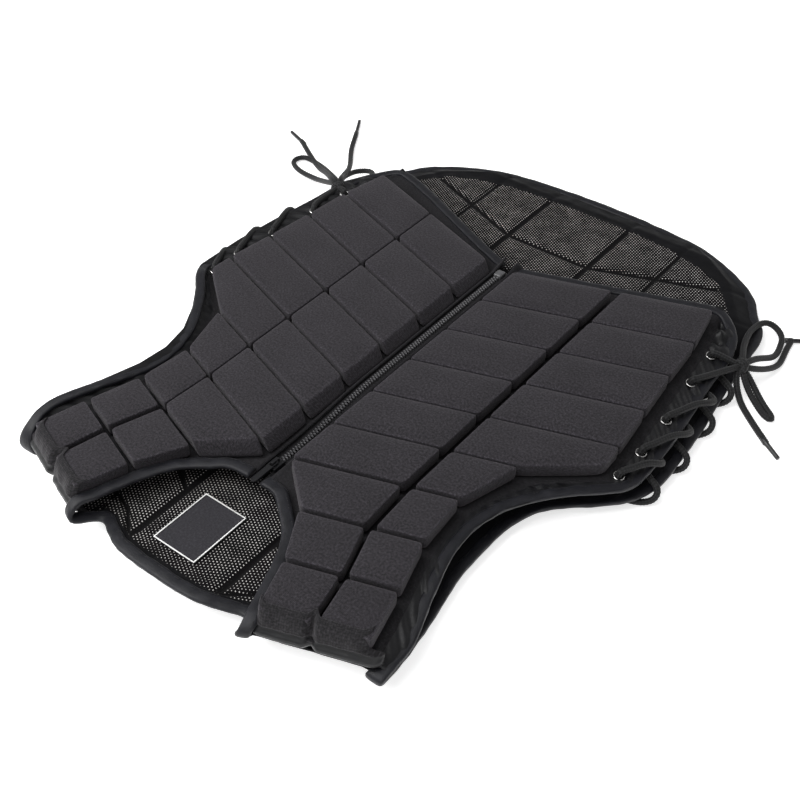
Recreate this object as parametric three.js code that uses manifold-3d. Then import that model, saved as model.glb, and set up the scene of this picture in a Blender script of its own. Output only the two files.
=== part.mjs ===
// Equestrian body protector, laid on its back: a front of foam blocks that opens at a zip, folded over at the
// shoulders onto a longer padded back, and laced to it down both sides. Millimetres. X runs across (the wearer's
// right is +X), Y runs from the neck towards the tail with 0 at the zip's neck end, Z is up from the floor.
import * as THREE from "three";
import { mergeVertices } from "three/addons/utils/BufferGeometryUtils.js";
import Module from "manifold-3d";

// Overall sizes
const HALF_WIDTH = 254; // middle line to the widest point of the back's side flap
const NECK_DEPTH = 146; // neck end of the zip up to the shoulder fold, measured on a row line
const FRONT_LENGTH = 358; // neck end of the zip down to the front hem
const TAIL_DROP = 185; // how far the tail of the back reaches past the front hem
const ROW_SLOPE = 0.34; // how much a row line drops for each millimetre away from the middle

// Thicknesses and heights
const CLEAR = 0.3; // gap that touching pieces keep
const WALL = 3; // cloth and lining sewn together
const BACK_PAD = 15; // foam blocks under the back
const FRONT_PAD = 15.7; // foam blocks on the front
const HOLLOW = 11; // clear space for the body, as the vest lies flat
const BACK_TOP = BACK_PAD + WALL;
const FRONT_TOP = BACK_TOP + HOLLOW + WALL;

// Foam blocks
const BLOCK_FOOT_INSET = 1; // seam line to the foot of a block
const BLOCK_TOP_INSET = 3.2; // seam line to the flat top of a block
const BLOCK_SHOULDER = 0.72; // share of a block's height where its edge starts to round
const BLOCK_CORNER = 3; // cut-off at a block's corners

// Edges and eyelets
const BINDING_WIDTH = 8;
const BINDING_THICK = 5;
const BACK_MARGIN = 26; // unpadded strip of the back, inside its edge
const EDGE_DROP = 7; // how far that strip falls to the edge
const COLLAR_WIDTH = 25; // strip of the back that rises to the neckline
const COLLAR_RISE = 9;
const EYELET_EDGE = 14.5; // edge of the flap to the middle of an eyelet
const EYELET_RADIUS = 4.7;
const EYELET_BORE = 3.8;
const EYELET_FLANGE = 1;
const FRONT_EYELETS = 5; // one more than on the back

// Zip
const ZIP_EDGE = 7; // middle line to the edge of the front cloth
const CHAIN_WIDTH = 6;
const CHAIN_HEIGHT = 4.2;
const TAPE_WIDTH = 17;
const TAPE_THICK = 1.3;
const SLIDER_LENGTH = 13;
const SLIDER_PLATE = 1.5;
const SLIDER_PLACE = 18; // neck end of the zip to the middle of the slider
const PULL_LENGTH = 28;
const PULL_WIDTH = 5.6;
const PULL_THICK = 1.4;
const BRIDGE_WIDTH = 2.4;
const BRIDGE_HALF_LENGTH = 4.2;
const BRIDGE_HEIGHT = 3.6;
const BRIDGE_BAR = 1;

// Label and lace
const LABEL_WIDTH = 45;
const LABEL_LENGTH = 59;
const LABEL_THICK = 0.8;
const LACE_RADIUS = 2.5;
const KNOT_RADIUS = 6.5;
const AGLET_RADIUS = 1.5;
const LACE_STEP = 8.5; // length of one straight stretch of the lacing's tube
const BOW_STEP = 16;

// A length in the tables below is a share of one of the overall sizes
const out = (share) => share * HALF_WIDTH;
const neck = (share) => -share * NECK_DEPTH;
const front = (share) => share * FRONT_LENGTH;
const tail = (share) => FRONT_LENGTH + share * TAIL_DROP;
const fold = (across) => neck(1) + ROW_SLOPE * across;

// Seam lines that part the rows of front blocks, from the hem up to the shoulder
const BLOCK_LINES = [
  { along: front(0.944), inner: out(0.047), channel: out(0.433), outer: out(0.772) },
  { along: front(0.785), inner: out(0.047), channel: out(0.433), outer: out(0.811) },
  { along: front(0.633), inner: out(0.047), channel: out(0.433), outer: out(0.827) },
  { along: front(0.482), inner: out(0.047), channel: out(0.433), outer: out(0.848) },
  { along: front(0.334), inner: out(0.047), channel: out(0.433), outer: out(0.87) },
  { along: front(0.19), inner: out(0.047), channel: out(0.433), outer: out(0.666) },
  { along: front(0.046), inner: out(0.047), channel: out(0.433), outer: out(0.599) },
  { along: neck(0.253), inner: out(0.224), channel: out(0.445), outer: out(0.616) },
  { along: neck(0.62), inner: out(0.323), channel: out(0.508), outer: out(0.673) },
  { along: neck(0.979), inner: out(0.386), channel: out(0.551), outer: out(0.721) },
];
// The fifth row's outer block turns here to follow the armhole
const ARMHOLE_ROW = 4;
const ARMHOLE_CORNER = { along: front(0.257), outer: out(0.874) };

// Edge of the front at the neck, from the zip to the shoulder. Lift is a share of the front pad
const NECK_EDGE = [
  { along: neck(0.055), across: ZIP_EDGE, lift: 0.15 },
  { along: neck(0.12), across: out(0.098), lift: 0.3 },
  { along: neck(0.23), across: out(0.157), lift: 0.3 },
  { along: neck(0.4), across: out(0.236), lift: 0.3 },
  { along: neck(0.594), across: out(0.287), lift: 0.3 },
  { along: neck(0.855), across: out(0.335), lift: 0.3 },
  { along: neck(1), across: out(0.362), lift: 0.25 },
];

// Outer edge of the front: shoulder, armhole, laced flap and hem corner
const FRONT_EDGE = [
  { along: neck(1), across: out(0.768), lift: 0.12 },
  { along: neck(0.84), across: out(0.776), lift: 0.12 },
  { along: neck(0.5), across: out(0.724), lift: 0.12 },
  { along: neck(0.2), across: out(0.681), lift: 0.12 },
  { along: front(0.005), across: out(0.673), lift: 0.12 },
  { along: front(0.082), across: out(0.701), lift: 0.12 },
  { along: front(0.144), across: out(0.768), lift: 0.12 },
  { along: front(0.185), across: out(0.835), lift: 0.08 },
  { along: front(0.221), across: out(0.911), lift: 0 },
  { along: front(0.254), across: out(0.95), lift: -0.15 },
  { along: front(0.29), across: out(0.961), lift: -0.3 },
  { along: front(0.408), across: out(0.961), lift: -0.3 },
  { along: front(0.553), across: out(0.945), lift: -0.3 },
  { along: front(0.698), across: out(0.921), lift: -0.3 },
  { along: front(0.844), across: out(0.906), lift: -0.3 },
  { along: front(0.911), across: out(0.878), lift: -0.15 },
  { along: front(0.96), across: out(0.83), lift: 0.05 },
  { along: front(0.988), across: out(0.79), lift: 0.2 },
  { along: front(1), across: out(0.748), lift: 0.3 },
];
const HEM_STOPS = [0.59, 0.39, 0.2].map(out);
const HEM_LIFT = 0.3;

// Outer edge of the back: shoulder end, armhole, laced flap and rounded tail
const BACK_EDGE = [
  { along: fold(out(0.366)), across: out(0.366) },
  { along: fold(out(0.76)), across: out(0.76) },
  { along: neck(0.438), across: out(0.764) },
  { along: neck(0.24), across: out(0.752) },
  { along: neck(0.027), across: out(0.732) },
  { along: front(0.081), across: out(0.709) },
  { along: front(0.162), across: out(0.705) },
  { along: front(0.268), across: out(0.713) },
  { along: front(0.346), across: out(0.752) },
  { along: front(0.399), across: out(0.819) },
  { along: front(0.444), across: out(0.89) },
  { along: front(0.494), across: out(0.953) },
  { along: front(0.559), across: out(0.992) },
  { along: front(0.612), across: out(1) },
  { along: front(0.718), across: out(0.992) },
  { along: front(0.804), across: out(0.984) },
  { along: front(0.93), across: out(0.961) },
  { along: tail(0.15), across: out(0.942) },
  { along: tail(0.45), across: out(0.917) },
  { along: tail(0.562), across: out(0.858) },
  { along: tail(0.708), across: out(0.787) },
  { along: tail(0.85), across: out(0.642) },
  { along: tail(0.94), across: out(0.492) },
  { along: tail(0.973), across: out(0.354) },
  { along: tail(0.995), across: out(0.15) },
];
const BACK_NECKLINE = neck(0.822);
const BACK_NECK_HALF = out(0.346);

// Seam lines across the back: straight in the middle column, rising outwards beside it
const BACK_LINES = [
  { along: tail(1), slope: 0.38, middle: true },
  { along: tail(0.373), slope: 0.38, middle: true },
  { along: tail(0.086), slope: 0.4, middle: true },
  { along: front(0.897), slope: 0.42, middle: true },
  { along: front(0.749), slope: 0.45, middle: true },
  { along: front(0.601), slope: 0.48, middle: true },
  { along: front(0.453), slope: 0.51, middle: true },
  { along: front(0.305), slope: 0.55, middle: true },
  { along: front(0.173), slope: 0.58, middle: true },
  { along: front(0.039), slope: 0.62, middle: true },
  { along: neck(0.267), slope: 0.66, middle: false },
  { along: neck(0.72), slope: 0.67, middle: true },
];
const BACK_COLUMNS = [out(0.189), out(0.441), out(1)];

// Where each front eyelet lies along its row line, and each back eyelet along the side
const FRONT_EYELET_ROWS = [0.283, 0.38, 0.516, 0.679, 0.807].map(front);
const BACK_EYELET_PLACES = [0.506, 0.637, 0.777, 0.911].map(front);

// Free ends and loops of the two bows, as they lie on the floor and on the back's edge
const RIGHT_BOW = {
  knot: [243, 371, 26],
  loops: [
    [[241, 379, 26], [231, 402, 22], [224, 437, 18], [230, 463, 12], [245, 461, 5.5], [251, 444, 4.5], [254, 425, 7],
      [247, 396, 20], [244, 379, 25]],
    [[249, 367, 21], [256, 364, 11], [272, 356, 4], [286, 346, 3.2], [292, 350, 3.2], [284, 359, 3.4],
      [266, 370, 7], [252, 373, 20]],
  ],
  ends: [
    [[248, 376, 23], [257, 397, 12], [261, 420, 4], [257, 446, 3.2], [255, 461, 3.2]],
    [[243, 364, 22], [249, 356, 13], [257, 350, 5], [274, 336, 3.2], [298, 317, 3.2]],
  ],
  tips: [[271, 473, 2.2], [314, 307, 2.2]],
};
const LEFT_BOW = {
  knot: [-229, 366, 36],
  loops: [
    [[-235, 369, 37], [-258, 381, 25], [-295, 399, 8], [-327, 408, 3.2], [-343, 418, 3.2], [-340, 432, 3.2],
      [-308, 425, 7], [-262, 393, 27], [-234, 371, 39]],
    [[-231, 373, 38], [-242, 398, 27], [-251, 421, 18], [-250, 440, 16], [-238, 441, 17], [-231, 424, 23],
      [-231, 398, 34], [-229, 376, 41]],
  ],
  ends: [
    [[-236, 368, 40], [-266, 391, 28], [-297, 413, 13], [-327, 434, 4.5], [-363, 457, 3.2]],
    [[-232, 374, 40], [-251, 402, 26], [-272, 436, 12], [-306, 480, 3.6], [-324, 510, 3.2]],
  ],
  tips: [[-390, 468, 2.2], [-342, 538, 2.2]],
};

const COLOURS = {
  cover: 0x302f32,
  block: 0x3a383b,
  binding: 0x1c1d22,
  lining: 0x232225,
  zip: 0x18181a,
  metal: 0xc9cacc,
  label: 0x3a3a40,
  lace: 0x1b1b1d,
};

const wasm = await Module();
wasm.setup();

// Solids: a three.js geometry becomes a closed solid, and a closed solid becomes a geometry again
function solidOf(geometry) {
  const bare = geometry.clone();
  bare.deleteAttribute("normal");
  bare.deleteAttribute("uv");
  const merged = mergeVertices(bare, 1e-4);
  const made = new wasm.Manifold(
    new wasm.Mesh({
      numProp: 3,
      vertProperties: merged.attributes.position.array,
      triVerts: new Uint32Array(merged.index.array),
    }),
  );
  return made;
}

function geometryOf(solid) {
  const mesh = solid.getMesh();
  const geometry = new THREE.BufferGeometry();
  geometry.setAttribute("position", new THREE.BufferAttribute(new Float32Array(mesh.vertProperties), 3));
  geometry.setIndex(new THREE.BufferAttribute(new Uint32Array(mesh.triVerts), 1));
  return geometry;
}

function union(geometries) {
  return geometries.map(solidOf).reduce((whole, piece) => whole.add(piece));
}

function indexed(points, faces) {
  const geometry = new THREE.BufferGeometry().setFromPoints(points);
  geometry.setIndex(faces.flat());
  return geometry;
}

function mirrored(geometry) {
  const copy = geometry.index ? geometry.toNonIndexed() : geometry.clone();
  copy.deleteAttribute("normal");
  copy.deleteAttribute("uv");
  copy.scale(-1, 1, 1);
  const place = copy.attributes.position;
  const corner = new THREE.Vector3();
  for (let i = 0; i < place.count; i += 3) {
    corner.fromBufferAttribute(place, i + 1);
    place.setXYZ(i + 1, place.getX(i + 2), place.getY(i + 2), place.getZ(i + 2));
    place.setXYZ(i + 2, corner.x, corner.y, corner.z);
  }
  return mergeVertices(copy, 1e-4);
}

// Rings of the same number of points, joined side to side and closed at both ends
function loft(rings) {
  const count = rings[0].length;
  const faces = [];
  for (let ring = 0; ring + 1 < rings.length; ring += 1) {
    for (let i = 0; i < count; i += 1) {
      const a = ring * count + i;
      const b = ring * count + ((i + 1) % count);
      faces.push([a, b, b + count], [a, b + count, a + count]);
    }
  }
  const last = (rings.length - 1) * count;
  for (let i = 1; i + 1 < count; i += 1) {
    faces.push([0, i + 1, i], [last, last + i, last + i + 1]);
  }
  return indexed(rings.flat(), faces);
}

// A cloth wall from rows of top points: each row holds as many points, and the wall hangs WALL below them
function wallOf(rows) {
  const columns = rows[0].length;
  const top = rows.flat();
  const under = top.map((p) => new THREE.Vector3(p.x, p.y, p.z - WALL));
  const faces = [];
  const cell = (a, b, c, d) => faces.push([a, b, c], [a, c, d]);
  const at = (row, column) => row * columns + column;
  for (let row = 0; row + 1 < rows.length; row += 1) {
    for (let column = 0; column + 1 < columns; column += 1) {
      const [a, b, c, d] = [at(row, column), at(row, column + 1), at(row + 1, column + 1), at(row + 1, column)];
      cell(a, b, c, d);
      cell(a + top.length, d + top.length, c + top.length, b + top.length);
    }
  }
  const edge = [];
  for (let column = 0; column + 1 < columns; column += 1) edge.push(at(0, column));
  for (let row = 0; row + 1 < rows.length; row += 1) edge.push(at(row, columns - 1));
  for (let column = columns - 1; column > 0; column -= 1) edge.push(at(rows.length - 1, column));
  for (let row = rows.length - 1; row > 0; row -= 1) edge.push(at(row, 0));
  edge.forEach((a, i) => {
    const b = edge[(i + 1) % edge.length];
    cell(a, a + top.length, b + top.length, b);
  });
  return indexed([...top, ...under], faces);
}

// An upright prism on a plan outline
function prism(outline, low, high) {
  const shape = new THREE.Shape(outline.map((p) => new THREE.Vector2(p.x, p.y)));
  const made = new THREE.ExtrudeGeometry(shape, { depth: high - low, bevelEnabled: false });
  return made.translate(0, 0, low);
}

function box(low, high) {
  const size = new THREE.Vector3().subVectors(high, low);
  const middle = new THREE.Vector3().addVectors(low, high).multiplyScalar(0.5);
  return new THREE.BoxGeometry(size.x, size.y, size.z).translate(middle.x, middle.y, middle.z);
}

function cord(points, radius, step) {
  const route = new THREE.CatmullRomCurve3(points, false, "centripetal");
  const sides = 8;
  const section = new THREE.Shape(
    Array.from({ length: sides }, (_, i) => {
      const turn = (2 * Math.PI * i) / sides;
      return new THREE.Vector2(radius * Math.cos(turn), radius * Math.sin(turn));
    }),
  );
  const steps = Math.max(1, Math.round(route.getLength() / step));
  return new THREE.ExtrudeGeometry(section, { steps, extrudePath: route, bevelEnabled: false });
}

// Tables: the value of one column where the table's rows are crossed
function lookup(table, along, column) {
  const rows = [...table].sort((a, b) => a.along - b.along);
  const next = rows.findIndex((row) => row.along >= along);
  if (next === 0) return rows[0][column];
  if (next < 0) return rows[rows.length - 1][column];
  const [a, b] = [rows[next - 1], rows[next]];
  return a[column] + ((b[column] - a[column]) * (along - a.along)) / (b.along - a.along);
}

const clamp = (value) => Math.min(1, Math.max(0, value));
const onRow = (across, along) => new THREE.Vector2(across, along + ROW_SLOPE * Math.abs(across));

// A run of plan points moved towards its left-hand side
function movedLeft(run, distance) {
  return run.map((point, i) => {
    const before = run[Math.max(0, i - 1)];
    const after = run[Math.min(run.length - 1, i + 1)];
    const normalOf = (a, b) => new THREE.Vector2(a.y - b.y, b.x - a.x).normalize();
    const first = i > 0 ? normalOf(before, point) : normalOf(point, after);
    const second = i + 1 < run.length ? normalOf(point, after) : first;
    const middle = first.clone().add(second).normalize();
    return point.clone().addScaledVector(middle, distance / Math.max(0.5, middle.dot(first)));
  });
}

// The front: heights of its cover cloth
const fieldTable = [...BLOCK_LINES, { ...ARMHOLE_CORNER, inner: BLOCK_LINES[0].inner }];
const lastLine = BLOCK_LINES[0].along;
const hemRise = (along) => HEM_LIFT * clamp((along - lastLine) / (FRONT_LENGTH - lastLine));
const liftToTop = (lift) => FRONT_TOP + lift * FRONT_PAD;

function innerEdge(along) {
  if (along >= NECK_EDGE[0].along) {
    const fade = clamp((along - NECK_EDGE[0].along) / (NECK_EDGE[0].along - NECK_EDGE[1].along));
    return { across: ZIP_EDGE, lift: Math.max(NECK_EDGE[0].lift * (1 - fade), hemRise(along)) };
  }
  return { across: lookup(NECK_EDGE, along, "across"), lift: lookup(NECK_EDGE, along, "lift") };
}

function frontSection(along) {
  const inner = innerEdge(along);
  const field = hemRise(along);
  return [
    { across: inner.across, top: liftToTop(inner.lift) },
    { across: lookup(fieldTable, along, "inner"), top: liftToTop(field) },
    { across: lookup(fieldTable, along, "outer"), top: liftToTop(field) },
    { across: lookup(FRONT_EDGE, along, "across"), top: liftToTop(lookup(FRONT_EDGE, along, "lift")) },
  ];
}

function frontTop(across, along) {
  const section = frontSection(along).map((point) => ({ along: point.across, top: point.top }));
  return lookup(section, across, "top");
}

// Plan runs that the bindings follow, for the wearer's right half
const neckRun = NECK_EDGE.map((row) => ({ ...row, plan: onRow(row.across, row.along) }));
const outerRun = [
  ...FRONT_EDGE.map((row) => ({ ...row, plan: onRow(row.across, row.along) })),
  ...[...HEM_STOPS, ZIP_EDGE].map((across) => ({ lift: HEM_LIFT, plan: onRow(across, FRONT_LENGTH) })),
];
const backRun = [
  ...BACK_EDGE.slice(1).map((row) => new THREE.Vector2(row.across, row.along)),
  new THREE.Vector2(0, tail(1)),
];
const bound = BINDING_WIDTH + CLEAR;
const planOf = (run) => run.map((row) => row.plan);

// Eyelets stand square on the sloping flap
function eyeletSeat(place, top, edgeTop, reach) {
  return { place, top, tilt: Math.atan2(edgeTop - top, reach) };
}

const frontEyeletSeats = FRONT_EYELET_ROWS.map((along) => {
  const edge = lookup(FRONT_EDGE, along, "across");
  const across = edge - EYELET_EDGE;
  return eyeletSeat(onRow(across, along), frontTop(across, along), frontTop(edge, along), EYELET_EDGE);
});

function backTop(across, along) {
  const half = lookup(BACK_EDGE, along, "across");
  const shoulder = along <= BACK_EDGE[1].along;
  const aside = shoulder ? 0 : clamp((Math.abs(across) - (half - BACK_MARGIN)) / BACK_MARGIN);
  const astern = clamp((along - (tail(1) - BACK_MARGIN)) / BACK_MARGIN);
  const collar = clamp((BACK_NECKLINE + COLLAR_WIDTH - along) / COLLAR_WIDTH);
  const within = 1 - clamp((Math.abs(across) - 0.5 * BACK_NECK_HALF) / (0.35 * BACK_NECK_HALF));
  return BACK_TOP - EDGE_DROP * Math.max(aside, astern) + COLLAR_RISE * collar * within;
}

const backEyeletSeats = BACK_EYELET_PLACES.map((along) => {
  const edge = lookup(BACK_EDGE, along, "across");
  const across = edge - EYELET_EDGE;
  return eyeletSeat(
    new THREE.Vector2(across, along), backTop(across, along), backTop(edge, along), EYELET_EDGE);
});

function eyeletHoles(seats) {
  const hole = EYELET_BORE + EYELET_FLANGE + CLEAR;
  return seats.map((seat) =>
    new THREE.CylinderGeometry(hole, hole, 8 * WALL, 8)
      .rotateX(Math.PI / 2)
      .translate(seat.place.x, seat.place.y, seat.top),
  );
}

function frontPanel() {
  const stations = [...BLOCK_LINES, ARMHOLE_CORNER, ...NECK_EDGE, ...FRONT_EDGE].map((row) => row.along);
  stations.sort((a, b) => a - b);
  const kept = stations.filter((along, i) => i === 0 || along - stations[i - 1] > 5);
  const rows = kept.map((along) =>
    frontSection(along).map((point) => {
      const plan = onRow(point.across, along);
      return new THREE.Vector3(plan.x, plan.y, point.top);
    }),
  );
  const outline = [
    ...movedLeft(planOf(neckRun), bound),
    ...movedLeft(planOf(outerRun), bound),
  ];
  let panel = solidOf(wallOf(rows)).intersect(solidOf(prism(outline, 0, 2 * FRONT_TOP)));
  panel = panel.add(shoulderWall());
  eyeletHoles(frontEyeletSeats).forEach((hole) => {
    panel = panel.subtract(solidOf(hole));
  });
  return geometryOf(panel);
}

// Cloth that turns down at the shoulder fold and closes the end of the strap
function shoulderWall() {
  const first = NECK_EDGE[NECK_EDGE.length - 1].across + bound + 2;
  const last = FRONT_EDGE[0].across - bound - 1;
  const end = neck(1);
  const corners = [
    onRow(first, end),
    onRow(last, end),
    onRow(last, end + WALL),
    onRow(first, end + WALL),
  ];
  return solidOf(prism(corners, BACK_TOP + CLEAR, FRONT_TOP - 0.5 * WALL));
}

// A foam block: its plan corners drawn in from the seams, standing on the cover cloth
function blockOn(corners, foot, height, plain = false) {
  const ringAt = (inset, z) => {
    const closed = [corners[corners.length - 1], ...corners, corners[0]];
    const drawnIn = movedLeft(closed, inset).slice(1, -1);
    if (plain) return drawnIn.map((p) => new THREE.Vector3(p.x, p.y, z));
    const ring = drawnIn.flatMap((corner, i) => {
      const before = drawnIn[(i + drawnIn.length - 1) % drawnIn.length];
      const after = drawnIn[(i + 1) % drawnIn.length];
      const towards = (other) =>
        corner.clone().addScaledVector(other.clone().sub(corner).normalize(), BLOCK_CORNER);
      return [towards(before), towards(after)];
    });
    return ring.map((p) => new THREE.Vector3(p.x, p.y, z));
  };
  const rings = [ringAt(BLOCK_FOOT_INSET, foot), ringAt(BLOCK_TOP_INSET, foot + height)];
  const shoulder = ringAt(BLOCK_FOOT_INSET + 0.2 * BLOCK_TOP_INSET, foot + BLOCK_SHOULDER * height);
  return loft(plain ? rings : [rings[0], shoulder, rings[1]]);
}

function frontBlock(row, column) {
  const [near, far] = [BLOCK_LINES[row], BLOCK_LINES[row + 1]];
  const [from, to] = column === "inner" ? ["inner", "channel"] : ["channel", "outer"];
  const corners = [
    onRow(far[from], far.along),
    onRow(far[to], far.along),
    onRow(near[to], near.along),
    onRow(near[from], near.along),
  ];
  if (row === ARMHOLE_ROW && column === "outer") {
    corners.splice(2, 0, onRow(ARMHOLE_CORNER.outer, ARMHOLE_CORNER.along));
  }
  return blockOn(corners, FRONT_TOP + CLEAR, FRONT_PAD);
}

// The back: lining on downward blocks, cut to the padded outline
function backPanel() {
  const stations = BACK_EDGE.map((row) => row.along);
  stations.push(BACK_NECKLINE + BINDING_WIDTH, BACK_NECKLINE + COLLAR_WIDTH, tail(1) - BACK_MARGIN, tail(1) + 1);
  stations.sort((a, b) => a - b);
  const rows = stations.map((along) => {
    const half = Math.max(lookup(BACK_EDGE, along, "across"), out(0.4));
    const places = [-half, BACK_MARGIN - half, 0, half - BACK_MARGIN, half];
    return places.map((across) => new THREE.Vector3(across, along, backTop(across, along)));
  });
  const edge = movedLeft(backRun, bound);
  const shoulderLow = onRow(NECK_EDGE[NECK_EDGE.length - 1].across + bound, neck(1));
  const shoulderHigh = onRow(FRONT_EDGE[0].across - bound, neck(1));
  const half = [new THREE.Vector2(shoulderLow.x, BACK_NECKLINE + bound), shoulderHigh, ...edge];
  const outline = [...half, ...half.slice(0, -1).reverse().map((p) => new THREE.Vector2(-p.x, p.y))];
  const padded = movedLeft(backRun, BACK_MARGIN);
  const padHalf = [
    new THREE.Vector2(shoulderLow.x, BACK_NECKLINE + COLLAR_WIDTH / 2),
    onRow(FRONT_EDGE[0].across - BACK_MARGIN, neck(1)),
    ...padded,
  ];
  const padOutline = [...padHalf, ...padHalf.slice(0, -1).reverse().map((p) => new THREE.Vector2(-p.x, p.y))];
  let pads = union(backBlocks());
  pads = pads.intersect(solidOf(prism(padOutline, -1, BACK_TOP)));
  let panel = solidOf(wallOf(rows)).intersect(solidOf(prism(outline, -1, 2 * BACK_TOP)));
  panel = panel.add(pads);
  eyeletHoles(backEyeletSeats).forEach((hole) => {
    panel = panel.subtract(solidOf(hole)).subtract(solidOf(mirrored(hole)));
  });
  return geometryOf(panel);
}

// Blocks of the back, turned down so that their flat tops rest on the floor
function backBlocks() {
  const blocks = [];
  const [middle, ...sides] = BACK_COLUMNS;
  const height = BACK_PAD + WALL / 2;
  const turnDown = (block) => {
    const flipped = mirrored(block).rotateY(Math.PI);
    return flipped.translate(0, 0, height);
  };
  const straight = BACK_LINES.filter((line) => line.middle);
  for (let row = 0; row + 1 < straight.length; row += 1) {
    const [near, far] = [straight[row].along, straight[row + 1].along];
    blocks.push(
      blockOn(
        [[-middle, far], [middle, far], [middle, near], [-middle, near]].map((p) => new THREE.Vector2(...p)),
        0, height, true),
    );
  }
  for (let row = 0; row + 1 < BACK_LINES.length; row += 1) {
    const [near, far] = [BACK_LINES[row], BACK_LINES[row + 1]];
    const lineAt = (line, across) => new THREE.Vector2(across, line.along + line.slope * (across - middle));
    sides.forEach((outer, i) => {
      const inner = i === 0 ? middle : sides[i - 1];
      const block = blockOn(
        [lineAt(far, inner), lineAt(far, outer), lineAt(near, outer), lineAt(near, inner)], 0, height, true);
      blocks.push(block, mirrored(block));
    });
  }
  return blocks.map(turnDown);
}

// Binding: a flat bead swept along the edges, its inner side towards the cloth
function bead(sections) {
  const half = BINDING_WIDTH / 2;
  const profile = [[1, -0.5], [0.5, 1], [-0.5, 1], [-1, -0.5], [0, -1]];
  const rings = sections.map((section, i) => {
    const before = sections[Math.max(0, i - 1)].centre;
    const after = sections[Math.min(sections.length - 1, i + 1)].centre;
    const along = new THREE.Vector3().subVectors(after, before).normalize();
    const side = section.side.clone();
    const lifted = new THREE.Vector3().crossVectors(along, side).normalize();
    return profile.map(([a, b]) =>
      section.centre
        .clone()
        .addScaledVector(side, a * half)
        .addScaledVector(lifted, (b * BINDING_THICK) / 2),
    );
  });
  return loft(rings);
}

function beadSections(plan, heights) {
  const middle = movedLeft(plan, BINDING_WIDTH / 2);
  return middle.map((point, i) => {
    const side = new THREE.Vector3(point.x - plan[i].x, point.y - plan[i].y, 0).normalize();
    return { centre: new THREE.Vector3(point.x, point.y, heights[i] - WALL / 2), side };
  });
}

const mirrorSection = (section) => ({
  centre: section.centre.clone().setX(-section.centre.x),
  side: section.side.clone().setX(-section.side.x),
});

// From the zip round the neck, over the shoulder fold and along the back neckline, then the same on the left
function neckBinding() {
  const run = beadSections(planOf(neckRun), neckRun.map((row) => liftToTop(row.lift)));
  const end = run[run.length - 1].centre;
  const turn = {
    centre: new THREE.Vector3(end.x - 1, end.y - BINDING_WIDTH, (end.z + BACK_TOP) / 2),
    side: new THREE.Vector3(0.9, 0.43, 0),
  };
  const nape = [1, 0.75, 0.5, 0].map((share) => {
    const across = share * BACK_NECK_HALF;
    const height = backTop(across, BACK_NECKLINE + BINDING_WIDTH / 2) - WALL / 2;
    return {
      centre: new THREE.Vector3(across, BACK_NECKLINE + BINDING_WIDTH / 2, height),
      side: new THREE.Vector3(0, 1, 0),
    };
  });
  const half = [...run, turn, ...nape];
  return bead([...half, ...half.slice(0, -1).reverse().map(mirrorSection)]);
}

// From the zip's hem end round the front, over the shoulder fold and round the back, then the same on the left
function outerBinding() {
  const run = beadSections(planOf(outerRun), outerRun.map((row) => liftToTop(row.lift)));
  const back = beadSections(backRun, backRun.map((point) => {
    const reach = point.y >= tail(0.97) ? point.y + BINDING_WIDTH : point.y;
    return Math.min(backTop(point.x, reach), BACK_TOP - EDGE_DROP);
  }));
  const [high, low] = [run[0].centre, back[0].centre];
  const turn = {
    centre: new THREE.Vector3((high.x + low.x) / 2, Math.min(high.y, low.y) - BINDING_WIDTH, (high.z + low.z) / 2),
    side: new THREE.Vector3(-1, 0, 0),
  };
  const half = [...run.reverse(), turn, ...back];
  return bead([...half, ...half.slice(0, -1).reverse().map(mirrorSection)]);
}

// Zip: tapes and closed chain under the front edges, with the end box
const chainFoot = FRONT_TOP - WALL - CLEAR - TAPE_THICK;
const chainTop = chainFoot + CHAIN_HEIGHT;
const sliderTop = chainTop + CLEAR + SLIDER_PLATE;
const hinge = new THREE.Vector3(0, SLIDER_PLACE, sliderTop + BRIDGE_HEIGHT / 2 - 0.3);

function zipChain() {
  const start = neck(0.02);
  const end = FRONT_LENGTH - 1.5 * BINDING_WIDTH;
  const tape = box(
    new THREE.Vector3(-TAPE_WIDTH, start, chainFoot),
    new THREE.Vector3(TAPE_WIDTH, end, chainFoot + TAPE_THICK),
  );
  const chain = box(
    new THREE.Vector3(-CHAIN_WIDTH / 2, SLIDER_PLACE / 2, chainFoot - 0.5),
    new THREE.Vector3(CHAIN_WIDTH / 2, end - 2, chainTop),
  );
  const endBox = box(
    new THREE.Vector3(-0.75 * CHAIN_WIDTH, end - 12, chainFoot - 0.5),
    new THREE.Vector3(0.75 * CHAIN_WIDTH, end - 4, chainTop + 0.8),
  );
  return geometryOf(union([tape, chain, endBox]));
}

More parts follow.
